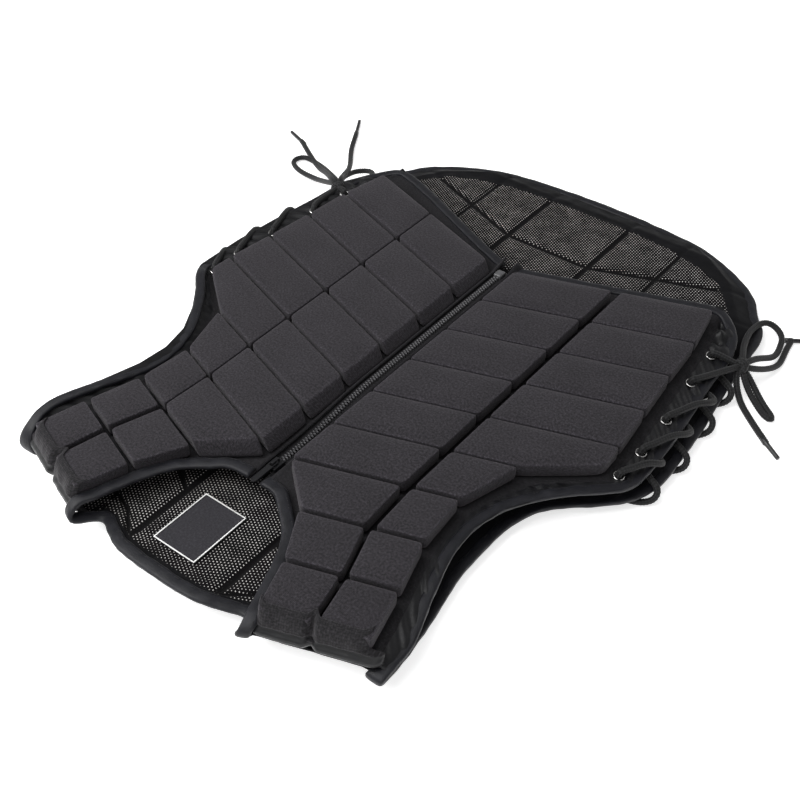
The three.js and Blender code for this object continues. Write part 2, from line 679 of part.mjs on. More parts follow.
function zipSlider() {
  const [low, high] = [SLIDER_PLACE - SLIDER_LENGTH / 2, SLIDER_PLACE + SLIDER_LENGTH / 2];
  const inside = CHAIN_WIDTH / 2 + CLEAR;
  const plate = box(
    new THREE.Vector3(-inside - SLIDER_PLATE, low, chainTop + CLEAR),
    new THREE.Vector3(inside + SLIDER_PLATE, high, sliderTop),
  );
  const cheeks = [-1, 1].map((hand) =>
    box(
      new THREE.Vector3(hand > 0 ? inside : -inside - SLIDER_PLATE, low, chainFoot + TAPE_THICK + CLEAR),
      new THREE.Vector3(hand > 0 ? inside + SLIDER_PLATE : -inside, high, sliderTop),
    ),
  );
  const posts = [-1, 1].map((end) => {
    const near = hinge.y + end * (BRIDGE_HALF_LENGTH - BRIDGE_BAR);
    const far = hinge.y + end * BRIDGE_HALF_LENGTH;
    return box(
      new THREE.Vector3(-BRIDGE_WIDTH / 2, Math.min(near, far), sliderTop - 0.5),
      new THREE.Vector3(BRIDGE_WIDTH / 2, Math.max(near, far), sliderTop + BRIDGE_HEIGHT),
    );
  });
  const bar = box(
    new THREE.Vector3(-BRIDGE_WIDTH / 2, hinge.y - BRIDGE_HALF_LENGTH, sliderTop + BRIDGE_HEIGHT - BRIDGE_BAR),
    new THREE.Vector3(BRIDGE_WIDTH / 2, hinge.y + BRIDGE_HALF_LENGTH, sliderTop + BRIDGE_HEIGHT),
  );
  return geometryOf(union([plate, ...cheeks, ...posts, bar]));
}

// The pull's eye goes round the slider's bridge, and its cross bar turns on the hinge line
function zipPull() {
  const half = PULL_WIDTH / 2;
  const bar = PULL_THICK / 2;
  const eyeEnd = Math.hypot(BRIDGE_HALF_LENGTH, BRIDGE_HEIGHT) + CLEAR;
  const eyeHalf = BRIDGE_WIDTH / 2 + 2 * CLEAR;
  const outline = new THREE.Shape(
    [[-half, bar], [-half, -PULL_LENGTH + 2], [-half + 1.5, -PULL_LENGTH], [half - 1.5, -PULL_LENGTH],
      [half, -PULL_LENGTH + 2], [half, bar]].map((p) => new THREE.Vector2(...p)),
  );
  outline.holes.push(
    new THREE.Path(
      [[-eyeHalf, -bar], [-eyeHalf, -eyeEnd], [eyeHalf, -eyeEnd], [eyeHalf, -bar]].map(
        (p) => new THREE.Vector2(...p)),
    ),
  );
  const plate = new THREE.ExtrudeGeometry(outline, { depth: PULL_THICK, bevelEnabled: false });
  return plate.translate(0, 0, -PULL_THICK / 2);
}

function eyelet() {
  const [bore, barrel, flange] = [EYELET_BORE, EYELET_BORE + EYELET_FLANGE - CLEAR, EYELET_RADIUS];
  const [under, over] = [-WALL - CLEAR, CLEAR];
  const profile = [
    [bore, under], [barrel, under], [barrel, over], [flange, over], [flange - 0.5, over + EYELET_FLANGE],
    [bore, over + EYELET_FLANGE], [bore, under],
  ].map((p) => new THREE.Vector2(...p));
  return new THREE.LatheGeometry(profile, 8).rotateX(Math.PI / 2);
}

// Lacing on one side: the two halves of one lace cross from front to back and meet at the bow
function lacing(knot, gap) {
  const above = LACE_RADIUS + EYELET_FLANGE + 2 * CLEAR;
  const frontEdge = (along) => lookup(FRONT_EDGE, along, "across");
  const backEdge = (along) => lookup(BACK_EDGE, along, "across");
  const under = LACE_RADIUS + 0.8;
  const at = (x, y, z) => new THREE.Vector3(x, y, z);
  const lift = (seat, up) => at(seat.place.x, seat.place.y, seat.top + up);
  // Over the front flap's edge and down through the back eyelet
  const outward = (f, b) => {
    const edge = frontEdge(FRONT_EYELET_ROWS[f]);
    const [from, to] = [frontEyeletSeats[f], backEyeletSeats[b]];
    const mix = (t) => from.place.y + (to.place.y - from.place.y) * t;
    return [
      lift(from, -2), lift(from, above),
      at(from.place.x + 5, mix(0.2), from.top + above),
      at(edge - 2, mix(0.5), from.top + above - 1),
      at(edge + 4, mix(0.72), from.top - 2),
      at(edge + 3, mix(0.88), to.top + 8),
      lift(to, 4.5), lift(to, -3.5),
    ];
  };
  // Under the back flap, round its edge, between the flaps and up through the front eyelet
  const inward = (b, f) => {
    const [from, to] = [backEyeletSeats[b], frontEyeletSeats[f]];
    const mix = (t) => from.place.y + (to.place.y - from.place.y) * t;
    const edge = backEdge(mix(0.5));
    return [
      at(from.place.x + 3, mix(0.08), under + 0.6),
      at(edge - 2, mix(0.28), under),
      at(edge + 5, mix(0.45), under + 4),
      at(edge + 4.5, mix(0.6), BACK_TOP - 4),
      at(edge - 6, mix(0.72), BACK_TOP + 0.2),
      at(to.place.x + 3, mix(0.95), BACK_TOP + 2),
      lift(to, -5), lift(to, above),
    ];
  };
  const home = (f, side) => {
    const from = frontEyeletSeats[f];
    const towards = lift(from, above + 2).sub(knot).normalize();
    const end = knot.clone().addScaledVector(towards, KNOT_RADIUS + gap);
    return [at(from.place.x + side[0], from.place.y + side[1], from.top + above), end];
  };
  const first = [lift(backEyeletSeats[0], 3), lift(backEyeletSeats[0], -3.5)];
  const bar = [
    lift(frontEyeletSeats[0], -2),
    at(frontEyeletSeats[0].place.x + 1, frontEyeletSeats[0].place.y + 1, BACK_TOP + 5),
    at(backEyeletSeats[0].place.x - 2, backEyeletSeats[0].place.y - 1, BACK_TOP + 1),
    lift(backEyeletSeats[0], 2),
  ];
  const halfA = [...outward(0, 1), ...inward(1, 2), ...outward(2, 3).slice(2), ...inward(3, 4), ...home(4, [2, 1])];
  const halfB = [...first, ...inward(0, 1), ...outward(1, 2).slice(2), ...inward(2, 3), ...home(3, [3, 4])];
  return geometryOf(union([halfA, halfB, bar].map((points) => cord(points, LACE_RADIUS, LACE_STEP))));
}

// The bow at the hem end: a knot, two loops and two ends with their aglets
function bow(route) {
  const points = (list) => list.map((p) => new THREE.Vector3(...p));
  const knot = new THREE.IcosahedronGeometry(KNOT_RADIUS, 1).translate(...route.knot);
  const loops = route.loops.map((loop) =>
    cord(points([route.knot, ...loop, route.knot]), LACE_RADIUS, BOW_STEP));
  const ends = route.ends.map((end) => cord(points([route.knot, ...end]), LACE_RADIUS, BOW_STEP));
  const tips = route.tips.map((tip, i) => {
    const end = route.ends[i][route.ends[i].length - 1];
    const [a, b] = points([end, tip]);
    return cord([a.clone().lerp(b, -0.05), b], AGLET_RADIUS, 30);
  });
  return geometryOf(union([knot, ...loops, ...ends, ...tips]));
}

// The assembly
const vest = new THREE.Group();
const cordNames = ["bow_left", "bow_right"];

function addPiece(name, geometry, colour, roughness, metalness = 0) {
  const material = new THREE.MeshStandardMaterial({ color: colour, roughness, metalness });
  const mesh = new THREE.Mesh(geometry, material);
  mesh.name = name;
  vest.add(mesh);
  return mesh;
}

function addPair(name, geometry, colour, roughness, metalness) {
  addPiece("right_" + name, geometry, colour, roughness, metalness);
  addPiece("left_" + name, mirrored(geometry), colour, roughness, metalness);
}

addPiece("back_panel", backPanel(), COLOURS.lining, 0.9);
addPair("front_panel", frontPanel(), COLOURS.cover, 0.85);
for (let row = 0; row + 1 < BLOCK_LINES.length; row += 1) {
  for (const column of ["inner", "outer"]) {
    addPair(`block_${row + 1}_${column}`, frontBlock(row, column), COLOURS.block, 0.85);
  }
}
addPiece("neck_binding", neckBinding(), COLOURS.binding, 0.5);
addPiece("outer_binding", outerBinding(), COLOURS.binding, 0.5);

addPiece("zip_chain", zipChain(), COLOURS.zip, 0.5);
addPiece("zip_slider", zipSlider(), COLOURS.zip, 0.35, 0.3);
addPiece("zip_pull", zipPull(), COLOURS.zip, 0.35, 0.3).position.copy(hinge);

const label = addPiece(
  "label", new THREE.BoxGeometry(LABEL_WIDTH, LABEL_LENGTH, LABEL_THICK), COLOURS.label, 0.7);
label.position.set(out(-0.035), neck(0.425), BACK_TOP + CLEAR + LABEL_THICK / 2);

frontEyeletSeats.forEach((seat, i) => {
  for (const [side, hand] of [["right", 1], ["left", -1]]) {
    const ring = addPiece(`${side}_eyelet_${i + 1}`, eyelet(), COLOURS.metal, 0.25, 1);
    ring.position.set(hand * seat.place.x, seat.place.y, seat.top);
    ring.rotation.y = -hand * seat.tilt;
  }
});

const rightKnot = new THREE.Vector3(...RIGHT_BOW.knot);
const leftKnot = new THREE.Vector3(-LEFT_BOW.knot[0], LEFT_BOW.knot[1], LEFT_BOW.knot[2]);
addPiece("right_lace", lacing(rightKnot, CLEAR), COLOURS.lace, 0.8);
addPiece("left_lace", mirrored(lacing(leftKnot, 3 * CLEAR)), COLOURS.lace, 0.8);
addPiece("bow_right", bow(RIGHT_BOW), COLOURS.lace, 0.8);
addPiece("bow_left", bow(LEFT_BOW), COLOURS.lace, 0.8);

// The origin is under the middle of the vest, on the floor, with the loose bows left out of the measure
const reach = new THREE.Box3();
vest.children
  .filter((mesh) => !cordNames.includes(mesh.name))
  .forEach((mesh) => reach.expandByObject(mesh));
const middle = reach.getCenter(new THREE.Vector3());
vest.position.set(0, -middle.y, -reach.min.z);

const group = new THREE.Group();
group.add(vest);
export default group;
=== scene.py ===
# %% [markdown]
# # An equestrian body protector, laid on its back
#
# The vest has a front of foam blocks that opens at a zip, folded over at the shoulders onto a longer padded
# back and laced to it down both sides. The CAD model fixes every size. This script dresses it: each step
# first says what the piece is on the real vest, how it could be made, and why it is made this way here.

import math

import bpy
import numpy as np
from mathutils import Matrix, Vector, noise


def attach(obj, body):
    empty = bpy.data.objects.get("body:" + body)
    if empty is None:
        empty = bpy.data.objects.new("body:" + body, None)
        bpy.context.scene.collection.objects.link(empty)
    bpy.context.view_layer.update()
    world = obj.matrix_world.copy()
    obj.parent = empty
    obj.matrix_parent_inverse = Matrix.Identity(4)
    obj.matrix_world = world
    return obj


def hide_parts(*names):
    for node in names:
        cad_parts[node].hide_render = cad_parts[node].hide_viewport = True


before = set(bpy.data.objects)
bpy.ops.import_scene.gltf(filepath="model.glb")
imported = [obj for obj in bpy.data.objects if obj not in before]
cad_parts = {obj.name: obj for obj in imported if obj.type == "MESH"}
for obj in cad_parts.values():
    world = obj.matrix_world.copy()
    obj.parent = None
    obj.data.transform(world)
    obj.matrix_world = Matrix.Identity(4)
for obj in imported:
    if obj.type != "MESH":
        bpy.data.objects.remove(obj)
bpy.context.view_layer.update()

# %% [markdown]
# ## Sizes
#
# The tables below are the part's own: a row line drops as it leaves the middle, so the blocks stand in a
# chevron. They are written in millimetres from the neck end of the zip, because that is how the vest was
# measured, and each mesh is moved to the CAD frame and turned into metres as the last thing that happens to
# it.

# %% Overall sizes and tables
HALF_WIDTH, NECK_DEPTH, FRONT_LENGTH, TAIL_DROP = 254, 146, 358, 185
ROW_SLOPE = 0.34
FRAME_ORIGIN = 209.2591
WALL, BACK_PAD, FRONT_PAD, HOLLOW = 3, 15, 15.7, 11
BACK_TOP = BACK_PAD + WALL
FRONT_TOP = BACK_TOP + HOLLOW + WALL
BINDING_WIDTH, BACK_MARGIN, EDGE_DROP = 8, 26, 7
COLLAR_WIDTH, COLLAR_RISE = 25, 9
EYELET_EDGE = 14.5
ZIP_EDGE = 7
SIDES = (("right", 1), ("left", -1))
LEFT_RISE, LEFT_SAG, NAPE_DIP, SHOULDER_DROP, ZIP_RISE = 10.5, 14, 17, 12, 7


def out(share):
    return share * HALF_WIDTH


def neck(share):
    return -share * NECK_DEPTH


def front(share):
    return share * FRONT_LENGTH


def tail(share):
    return FRONT_LENGTH + share * TAIL_DROP


def fold(across):
    return neck(1) + ROW_SLOPE * across


# along, inner, channel, outer
BLOCK_LINES = np.array([
    (front(0.944), out(0.047), out(0.433), out(0.772)), (front(0.785), out(0.047), out(0.433), out(0.811)),
    (front(0.633), out(0.047), out(0.433), out(0.827)), (front(0.482), out(0.047), out(0.433), out(0.848)),
    (front(0.334), out(0.047), out(0.433), out(0.87)), (front(0.19), out(0.047), out(0.433), out(0.666)),
    (front(0.046), out(0.047), out(0.433), out(0.599)), (neck(0.253), out(0.224), out(0.445), out(0.616)),
    (neck(0.62), out(0.323), out(0.508), out(0.673)), (neck(0.979), out(0.386), out(0.551), out(0.721)),
])
ARMHOLE_ROW = 4
ARMHOLE_CORNER = (front(0.257), out(0.874))
# along, across, lift as a share of the front pad
NECK_EDGE = np.array([
    (neck(0.055), ZIP_EDGE, 0.15), (neck(0.12), out(0.098), 0.3), (neck(0.23), out(0.157), 0.3),
    (neck(0.4), out(0.236), 0.3), (neck(0.594), out(0.287), 0.3), (neck(0.855), out(0.335), 0.3),
    (neck(1), out(0.362), 0.25),
])
FRONT_EDGE = np.array([
    (neck(1), out(0.768), 0.12), (neck(0.84), out(0.776), 0.12), (neck(0.5), out(0.724), 0.12),
    (neck(0.2), out(0.681), 0.12), (front(0.005), out(0.673), 0.12), (front(0.082), out(0.701), 0.12),
    (front(0.144), out(0.768), 0.12), (front(0.185), out(0.835), 0.08), (front(0.221), out(0.911), 0),
    (front(0.254), out(0.95), -0.15), (front(0.29), out(0.961), -0.3), (front(0.408), out(0.961), -0.3),
    (front(0.553), out(0.945), -0.3), (front(0.698), out(0.921), -0.3), (front(0.844), out(0.906), -0.3),
    (front(0.911), out(0.878), -0.15), (front(0.96), out(0.83), 0.05), (front(0.988), out(0.79), 0.2),
    (front(1), out(0.748), 0.3),
])
HEM_STOPS = [out(0.59), out(0.39), out(0.2), ZIP_EDGE]
HEM_LIFT = 0.3
# along, across
BACK_EDGE = np.array([
    (fold(out(0.366)), out(0.366)), (fold(out(0.76)), out(0.76)), (neck(0.438), out(0.764)),
    (neck(0.24), out(0.752)), (neck(0.027), out(0.732)), (front(0.081), out(0.709)),
    (front(0.162), out(0.705)),
    (front(0.268), out(0.713)), (front(0.346), out(0.752)), (front(0.399), out(0.819)),
    (front(0.444), out(0.89)),
    (front(0.494), out(0.953)), (front(0.559), out(0.992)), (front(0.612), out(1)),
    (front(0.718), out(0.992)),
    (front(0.804), out(0.984)), (front(0.93), out(0.961)), (tail(0.15), out(0.942)), (tail(0.45), out(0.917)),
    (tail(0.562), out(0.858)), (tail(0.708), out(0.787)), (tail(0.85), out(0.642)), (tail(0.94), out(0.492)),
    (tail(0.973), out(0.354)), (tail(0.995), out(0.15)),
])
BACK_NECKLINE = neck(0.822)
BACK_NECK_HALF = out(0.346)
# along, slope
BACK_LINES = [
    (tail(1), 0.38), (tail(0.373), 0.38), (tail(0.086), 0.4), (front(0.897), 0.42), (front(0.749), 0.45),
    (front(0.601), 0.48), (front(0.453), 0.51), (front(0.305), 0.55), (front(0.173), 0.58),
    (front(0.039), 0.62),
    (neck(0.267), 0.66), (neck(0.72), 0.67),
]
BACK_MIDDLE, BACK_SIDE = out(0.189), out(0.441)
FRONT_EYELETS = [front(share) for share in (0.283, 0.38, 0.516, 0.679, 0.807)]
BACK_EYELETS = [front(share) for share in (0.506, 0.637, 0.777, 0.911)]


def column(table, along, which):
    rows = table[np.argsort(table[:, 0])]
    return np.interp(along, rows[:, 0], rows[:, which])


# %% [markdown]
# ## Camera
#
# The camera stands where the photograph was taken from: its place and turn were solved from the chevron
# corners, the eyelets and the floor line. A camera looks along its own -Z, so the three columns of its turn
# are right, up, back.

# %% Camera
SENSOR_WIDTH, FOCAL_PIXELS, IMAGE_PIXELS = 36, 1217.2283, 800
view_side, view_height = math.radians(38.702419), math.radians(41.933579)
view_roll, view_distance = -0.0132526, 1038.0892
aim = Vector((41.22107, 131.21151, 45.2))
toward = Vector((
    math.sin(view_side) * math.cos(view_height),
    -math.cos(view_side) * math.cos(view_height),
    math.sin(view_height),
))
level_right = (-toward).cross(Vector((0, 0, 1))).normalized()
level_up = level_right.cross(-toward)
right = level_right * math.cos(view_roll) + level_up * math.sin(view_roll)
up = level_up * math.cos(view_roll) - level_right * math.sin(view_roll)
stand = (aim + toward * view_distance - Vector((0, FRAME_ORIGIN, 0))) / 1000
camera = bpy.data.objects.new("camera", bpy.data.cameras.new("camera"))
camera.data.sensor_width = SENSOR_WIDTH
camera.data.lens = SENSOR_WIDTH * FOCAL_PIXELS / IMAGE_PIXELS
camera.data.clip_end = 20
camera.matrix_world = Matrix.Translation(stand) @ Matrix((right, up, toward)).transposed().to_4x4()
bpy.context.scene.collection.objects.link(camera)
bpy.context.scene.camera = camera
print("camera at", [round(v, 3) for v in stand], "lens", round(camera.data.lens, 2))


# %% [markdown]
# ## From points to pieces
#
# Every piece ends here: its points go to the CAD frame in metres, so that the object itself stays at the
# origin and a pattern on Object coordinates keeps still. A grid of points becomes a sheet of four-sided
# faces.

# %% Helpers for meshes
def to_frame(points):
    moved = np.asarray(points, float).reshape(-1, 3) - (0, FRAME_ORIGIN, 0)
    return moved / 1000


def make_piece(name, points, faces, uvs=None, marks=None):
    """A mesh object. Marks are named lists with one number for each point, for a material to read."""
    mesh = bpy.data.meshes.new(name)
    mesh.from_pydata(to_frame(points).tolist(), [], [tuple(int(i) for i in face) for face in faces])
    for mark, values in (marks or {}).items():
        mesh.attributes.new(mark, "FLOAT", "POINT").data.foreach_set("value", np.asarray(values, float))
    if uvs is not None:
        layer = mesh.uv_layers.new(name="flat")
        corners = np.empty(len(mesh.loops), int)
        mesh.loops.foreach_get("vertex_index", corners)
        layer.data.foreach_set("uv", (np.asarray(uvs, float)[corners] / 1000).ravel())
    mesh.polygons.foreach_set("use_smooth", [True] * len(mesh.polygons))
    mesh.update()
    piece = bpy.data.objects.new(name, mesh)
    bpy.context.scene.collection.objects.link(piece)
    return piece


def grid_faces(rows, columns, start=0, closed=False):
    faces = []
    for row in range(rows - 1):
        for place in range(columns if closed else columns - 1):
            a = start + row * columns + place
            b = start + row * columns + (place + 1) % columns
            faces.append((a, b, b + columns, a + columns))
    return faces


def mirrored(points):
    return np.asarray(points, float) * (-1, 1, 1)


def turned_round(faces):
    return [tuple(reversed(face)) for face in faces]


def add_modifier(piece, kind, **settings):
    made = piece.modifiers.new(kind.lower(), kind)
    for name, value in settings.items():
        setattr(made, name, value)
    return made


def settle(piece):
    seen = bpy.context.evaluated_depsgraph_get()
    seen.update()
    plain = bpy.data.meshes.new_from_object(piece.evaluated_get(seen))
    piece.modifiers.clear()
    piece.data = plain
    return piece


def run_along(line):
    """The length from a line's first point to each of its points."""
    return np.concatenate([[0], np.cumsum(np.linalg.norm(np.diff(line, axis=0), axis=1))])


def headings(line):
    ahead = np.gradient(line, axis=0)
    return ahead / np.linalg.norm(ahead, axis=1)[:, None]


def ripple(x, y, z, size, seed=0.0):
    """Smooth noise from -1 to 1 that changes over about the given size in millimetres."""
    return noise.noise(Vector((x / size + seed, y / size - seed, z / size + 0.37 * seed)))


# %% [markdown]
# ## Finishes
#
# All of the cloth is black or nearly black, so the cloths are told apart by how they take light: the block
# covers are a dull plain weave that scatters it, the binding is a smooth satin with soft gloss, the lining
# is a knitted mesh with pale holes, and the laces are a round braid. Each material draws its threads with
# waves at the real pitch.

# %% Helpers for materials
def new_material(name):
    made = bpy.data.materials.new(name)
    made.use_nodes = True
    tree = made.node_tree
    return made, tree, tree.nodes["Principled BSDF"]


def set_inputs(tree, node, values):
    """Each input is linked, when its value is a socket, or set."""
    for name, value in values.items():
        if isinstance(value, bpy.types.NodeSocket):
            tree.links.new(value, node.inputs[name])
        else:
            node.inputs[name].default_value = value


def add_node(tree, kind, inputs=None, **settings):
    made = tree.nodes.new(kind)
    for name, value in settings.items():
        setattr(made, name, value)
    set_inputs(tree, made, inputs or {})
    return made


def maths(tree, operation, first, second=0.0):
    made = add_node(tree, "ShaderNodeMath", {0: first, 1: second}, operation=operation)
    return made.outputs[0]


def weighted(tree, *parts):
    """The sum of some values, each of them times its weight."""
    total = None
    for value, weight in parts:
        scaled = maths(tree, "MULTIPLY", value, weight)
        total = scaled if total is None else maths(tree, "ADD", total, scaled)
    return total


def stretched(tree, value, low, high, new_low=0.0, new_high=1.0, **settings):
    """The value with its range from low to high stretched to the new range, and held there."""
    return add_node(tree, "ShaderNodeMapRange", {
        "Value": value, "From Min": low, "From Max": high, "To Min": new_low, "To Max": new_high,
    }, **settings).outputs["Result"]


def colours(tree, share, stops):
    ramp = add_node(tree, "ShaderNodeValToRGB", {"Fac": share})
    marks = ramp.color_ramp.elements
    while len(marks) < len(stops):
        marks.new(0.5)
    for mark, (place, colour) in zip(marks, stops):
        mark.position = place
        mark.color = (*colour, 1)
    return ramp.outputs["Color"]


def threads(tree, vector, pitch, turn=0.0):
    """Height of a plain weave: two sets of threads a pitch apart, in metres, over and under each other."""
    placed = add_node(tree, "ShaderNodeMapping", {"Vector": vector, "Rotation": (0, 0, turn)})
    parts = add_node(tree, "ShaderNodeSeparateXYZ", {"Vector": placed.outputs[0]})
    rate = math.pi / pitch
    across, along = (maths(tree, "SINE", maths(tree, "MULTIPLY", parts.outputs[axis], rate)) for axis in "XY")
    return maths(tree, "ABSOLUTE", maths(tree, "MULTIPLY", across, along))


def bump(tree, shader, height, strength, distance):
    made = add_node(tree, "ShaderNodeBump", {"Height": height, "Strength": strength, "Distance": distance})
    tree.links.new(made.outputs["Normal"], shader.inputs["Normal"])


def flat_places(tree):
    return add_node(tree, "ShaderNodeUVMap", uv_map="flat").outputs["UV"]


def object_places(tree):
    return add_node(tree, "ShaderNodeTexCoord").outputs["Object"]


def marked(tree, name):
    return add_node(tree, "ShaderNodeAttribute", attribute_name=name).outputs["Fac"]


def patches(tree, vector, size, detail, rough):
    return add_node(tree, "ShaderNodeTexNoise", {
        "Vector": vector, "Scale": 1 / size, "Detail": detail, "Roughness": rough,
    }).outputs["Fac"]


# %% Block cloth and cover cloth
def woven(name, dark, light, sheen=0.12, pitch=0.0011, rim_highlight=0.0):
    """Plain weave. A painted highlight along a block's top edge, read from a point mark, makes it lighter there by
    the given share.
    """
    made, tree, shader = new_material(name)
    places = flat_places(tree)
    weave = threads(tree, places, pitch)
    tone = stretched(tree, patches(tree, places, 0.0019, 2, 0.6), 0.36, 0.64)
    parts = [(tone, 0.42), (weave, 0.2), (patches(tree, places, 0.045, 2, 0.5), 0.2)]
    # Painted highlight: the mark lightens the colour along the top edge of a block.
    if rim_highlight:
        parts.append((marked(tree, "rim_highlight"), rim_highlight))
    # The lightest stop is reached mostly where the painted highlight adds to the tone.
    lightest = tuple(2.2 * part for part in light)
    set_inputs(tree, shader, {
        "Base Color": colours(tree, weighted(tree, *parts), [(0.12, dark), (0.6, light), (0.85, lightest)]),
        "Roughness": 0.84, "Specular IOR Level": 0.2,
        "Sheen Weight": sheen, "Sheen Roughness": 0.5, "Sheen Tint": (0.9, 0.86, 0.9, 1),
    })
    bump(tree, shader, weighted(tree, (weave, 1.0), (tone, 0.5)), 0.4, 0.0004)
    return made


# The block cloth carries the painted highlight along the blocks' top edges.
block_cloth = woven("block_weave", (0.0061, 0.0055, 0.0066), (0.0278, 0.0252, 0.03), rim_highlight=0.2)
cover_cloth = woven("cover_weave", (0.0038, 0.0036, 0.0042), (0.0125, 0.0118, 0.0138), sheen=0.06)
gather_cloth = woven("gather_weave", (0.003, 0.0028, 0.0032), (0.019, 0.0178, 0.02), sheen=0.08, pitch=0.0019)


# %% Satin for bindings and edge strips
def satin(name, dark, light, rough, shine=0.3):
    made, tree, shader = new_material(name)
    places = flat_places(tree)
    crumple = patches(tree, places, 0.012, 4, 0.6)
    fine = threads(tree, places, 0.0006, math.radians(45))
    set_inputs(tree, shader, {
        "Base Color": colours(tree, crumple, [(0.3, dark), (0.75, light)]),
        "Roughness": stretched(tree, crumple, 0.3, 0.7, rough - 0.06, rough + 0.1),
        "Specular IOR Level": shine, "Sheen Weight": 0.05, "Sheen Roughness": 0.4,
    })
    bump(tree, shader, weighted(tree, (crumple, 1.0), (fine, 0.06)), 0.4, 0.0012)
    return made


binding_satin = satin("binding_satin", (0.0035, 0.0036, 0.0054), (0.0085, 0.0087, 0.0125), 0.47)
strip_satin = satin("strip_satin", (0.002, 0.002, 0.0026), (0.0052, 0.0052, 0.0068), 0.4, shine=0.34)


# %% Lining: spacer mesh, with satin at the edge
def lining_cloth(name, hole_pitch, thread, hole_light, satin_dark, satin_light):
    """Knitted mesh: three sets of waves, 60 degrees apart, peak together at the holes of a honeycomb.

    The mark "mesh" is 1 where the mesh shows and 0 on the satin, and "seam" is 1 in a sewn channel.
    """
    made, tree, shader = new_material(name)
    places = object_places(tree)
    parts = add_node(tree, "ShaderNodeSeparateXYZ", {"Vector": places}).outputs
    rate = 4 * math.pi / (math.sqrt(3) * hole_pitch)
    waves = []
    for turn in (0, math.radians(60), math.radians(120)):
        along = weighted(tree, (parts["X"], rate * math.cos(turn)), (parts["Y"], rate * math.sin(turn)))
        waves.append((maths(tree, "COSINE", along), 1.0))
    uneven = maths(tree, "SUBTRACT", patches(tree, places, 0.014, 3, 0.6), 0.5)
    level = weighted(tree, *waves, (uneven, 2.2))
    meshed = stretched(tree, marked(tree, "mesh"), 0.42, 0.58)
    sewn = stretched(tree, marked(tree, "seam"), 0.4, 0.7)
    open_cloth = maths(tree, "MULTIPLY", meshed, maths(tree, "SUBTRACT", 1.0, sewn))
    hole = stretched(tree, level, 1.65, 2.5, interpolation_type="SMOOTHSTEP")
    hole = maths(tree, "MULTIPLY", hole, open_cloth)
    crumple = patches(tree, places, 0.012, 4, 0.6)
    both = add_node(tree, "ShaderNodeMix", {
        0: meshed,
        6: colours(tree, crumple, [(0.3, satin_dark), (0.75, satin_light)]),
        7: colours(tree, hole, [(0.0, thread), (1.0, hole_light)]),
    }, data_type="RGBA")
    set_inputs(tree, shader, {
        "Base Color": both.outputs[2], "Roughness": stretched(tree, meshed, 0.0, 1.0, 0.6, 0.85),
        "Specular IOR Level": 0.1, "Sheen Weight": 0.02,
    })
    bump(tree, shader, maths(tree, "SUBTRACT", maths(tree, "MULTIPLY", crumple, 1.6), hole), 0.5, 0.0005)
    return made


lining_paint = lining_cloth("lining_mesh", 0.003, (0.003, 0.0029, 0.0032), (0.5, 0.48, 0.465),
                            (0.0018, 0.0018, 0.0024), (0.0044, 0.0044, 0.0058))


# %% Braid, metal, plastic and label
def braid(name, turns_per_metre, strands):
    """Round braid: two families of strands wind opposite ways, drawn from the cord's own map. The colour is darker
    in the grooves between strands: painted shade.
    """
    made, tree, shader = new_material(name)
    parts = add_node(tree, "ShaderNodeSeparateXYZ", {"Vector": flat_places(tree)}).outputs
    length = maths(tree, "MULTIPLY", parts["X"], 2 * math.pi * turns_per_metre)
    round_it = maths(tree, "MULTIPLY", parts["Y"], 1000 * 2 * math.pi * strands)
    one, other = (maths(tree, "SINE", maths(tree, way, length, round_it)) for way in ("ADD", "SUBTRACT"))
    fibre = patches(tree, object_places(tree), 0.0007, 2, 0.6)
    parts = (maths(tree, "MULTIPLY", one, other), 0.5), (maths(tree, "SUBTRACT", fibre, 0.5), 0.5)
    # Painted shade: the colour darkens where the tube's strands dip, in step with the raised relief; fibre noise
    # adds real tone.
    groove_shade_and_fibre = maths(tree, "ADD", weighted(tree, *parts), 0.5)
    set_inputs(tree, shader, {
        "Base Color": colours(tree, groove_shade_and_fibre, [
            (0.25, (0.0012, 0.0012, 0.0014)), (0.9, (0.0165, 0.0165, 0.0178)),
        ]),
        "Roughness": 0.7, "Specular IOR Level": 0.3, "Sheen Weight": 0.08,
    })
    bump(tree, shader, fibre, 0.5, 0.0003)
    return made


def hard(name, colour, rough, metal=0.0, shine=0.5):
    made, tree, shader = new_material(name)
    uneven = patches(tree, object_places(tree), 0.003, 4, 0.6)
    shade = tuple(0.7 * part for part in colour)
    set_inputs(tree, shader, {
        "Base Color": colours(tree, uneven, [(0.2, shade), (0.7, colour)]), "Metallic": metal,
        "Roughness": stretched(tree, uneven, 0.3, 0.7, rough - 0.05, rough + 0.05),
        "Specular IOR Level": shine,
    })
    bump(tree, shader, uneven, 0.1, 0.0002)
    return made


BRAID_TURNS, BRAID_STRANDS = 190, 4
lace_braid = braid("lace_braid", BRAID_TURNS, BRAID_STRANDS)
nickel = hard("nickel_plate", (0.78, 0.77, 0.76), 0.2, metal=1.0)
enamel = hard("black_enamel", (0.009, 0.009, 0.0105), 0.48, shine=0.22)
teeth_plastic = hard("teeth_plastic", (0.062, 0.061, 0.065), 0.28)
box_plastic = hard("end_box_plastic", (0.09, 0.09, 0.094), 0.3)
aglet_plastic = hard("aglet_plastic", (0.010, 0.010, 0.011), 0.33)
thread_black = hard("sewing_thread", (0.008, 0.008, 0.009), 0.6)
label_cloth = woven("label_weave", (0.019, 0.018, 0.0215), (0.030, 0.029, 0.034), sheen=0.05, pitch=0.0005)
outline_thread = hard("outline_thread", (0.85, 0.85, 0.84), 0.6)
print("finishes:", len(bpy.data.materials))


# %% [markdown]
# ## The lace
#
# One round braided lace of about 5 mm runs down each side. It could be a bevelled curve, but a mesh tube
# can carry a map along and round it, which the braid needs. The tube's points follow a smooth curve through
# the points of the CAD cord, and each ring is turned as little as possible from the one before it, so that
# the braid doesn't twist.

# %% Tubes
LACE_RADIUS, KNOT_RADIUS = 2.75, 6.5
BRAID_STEP, BRAID_RELIEF = 1.3, 0.44


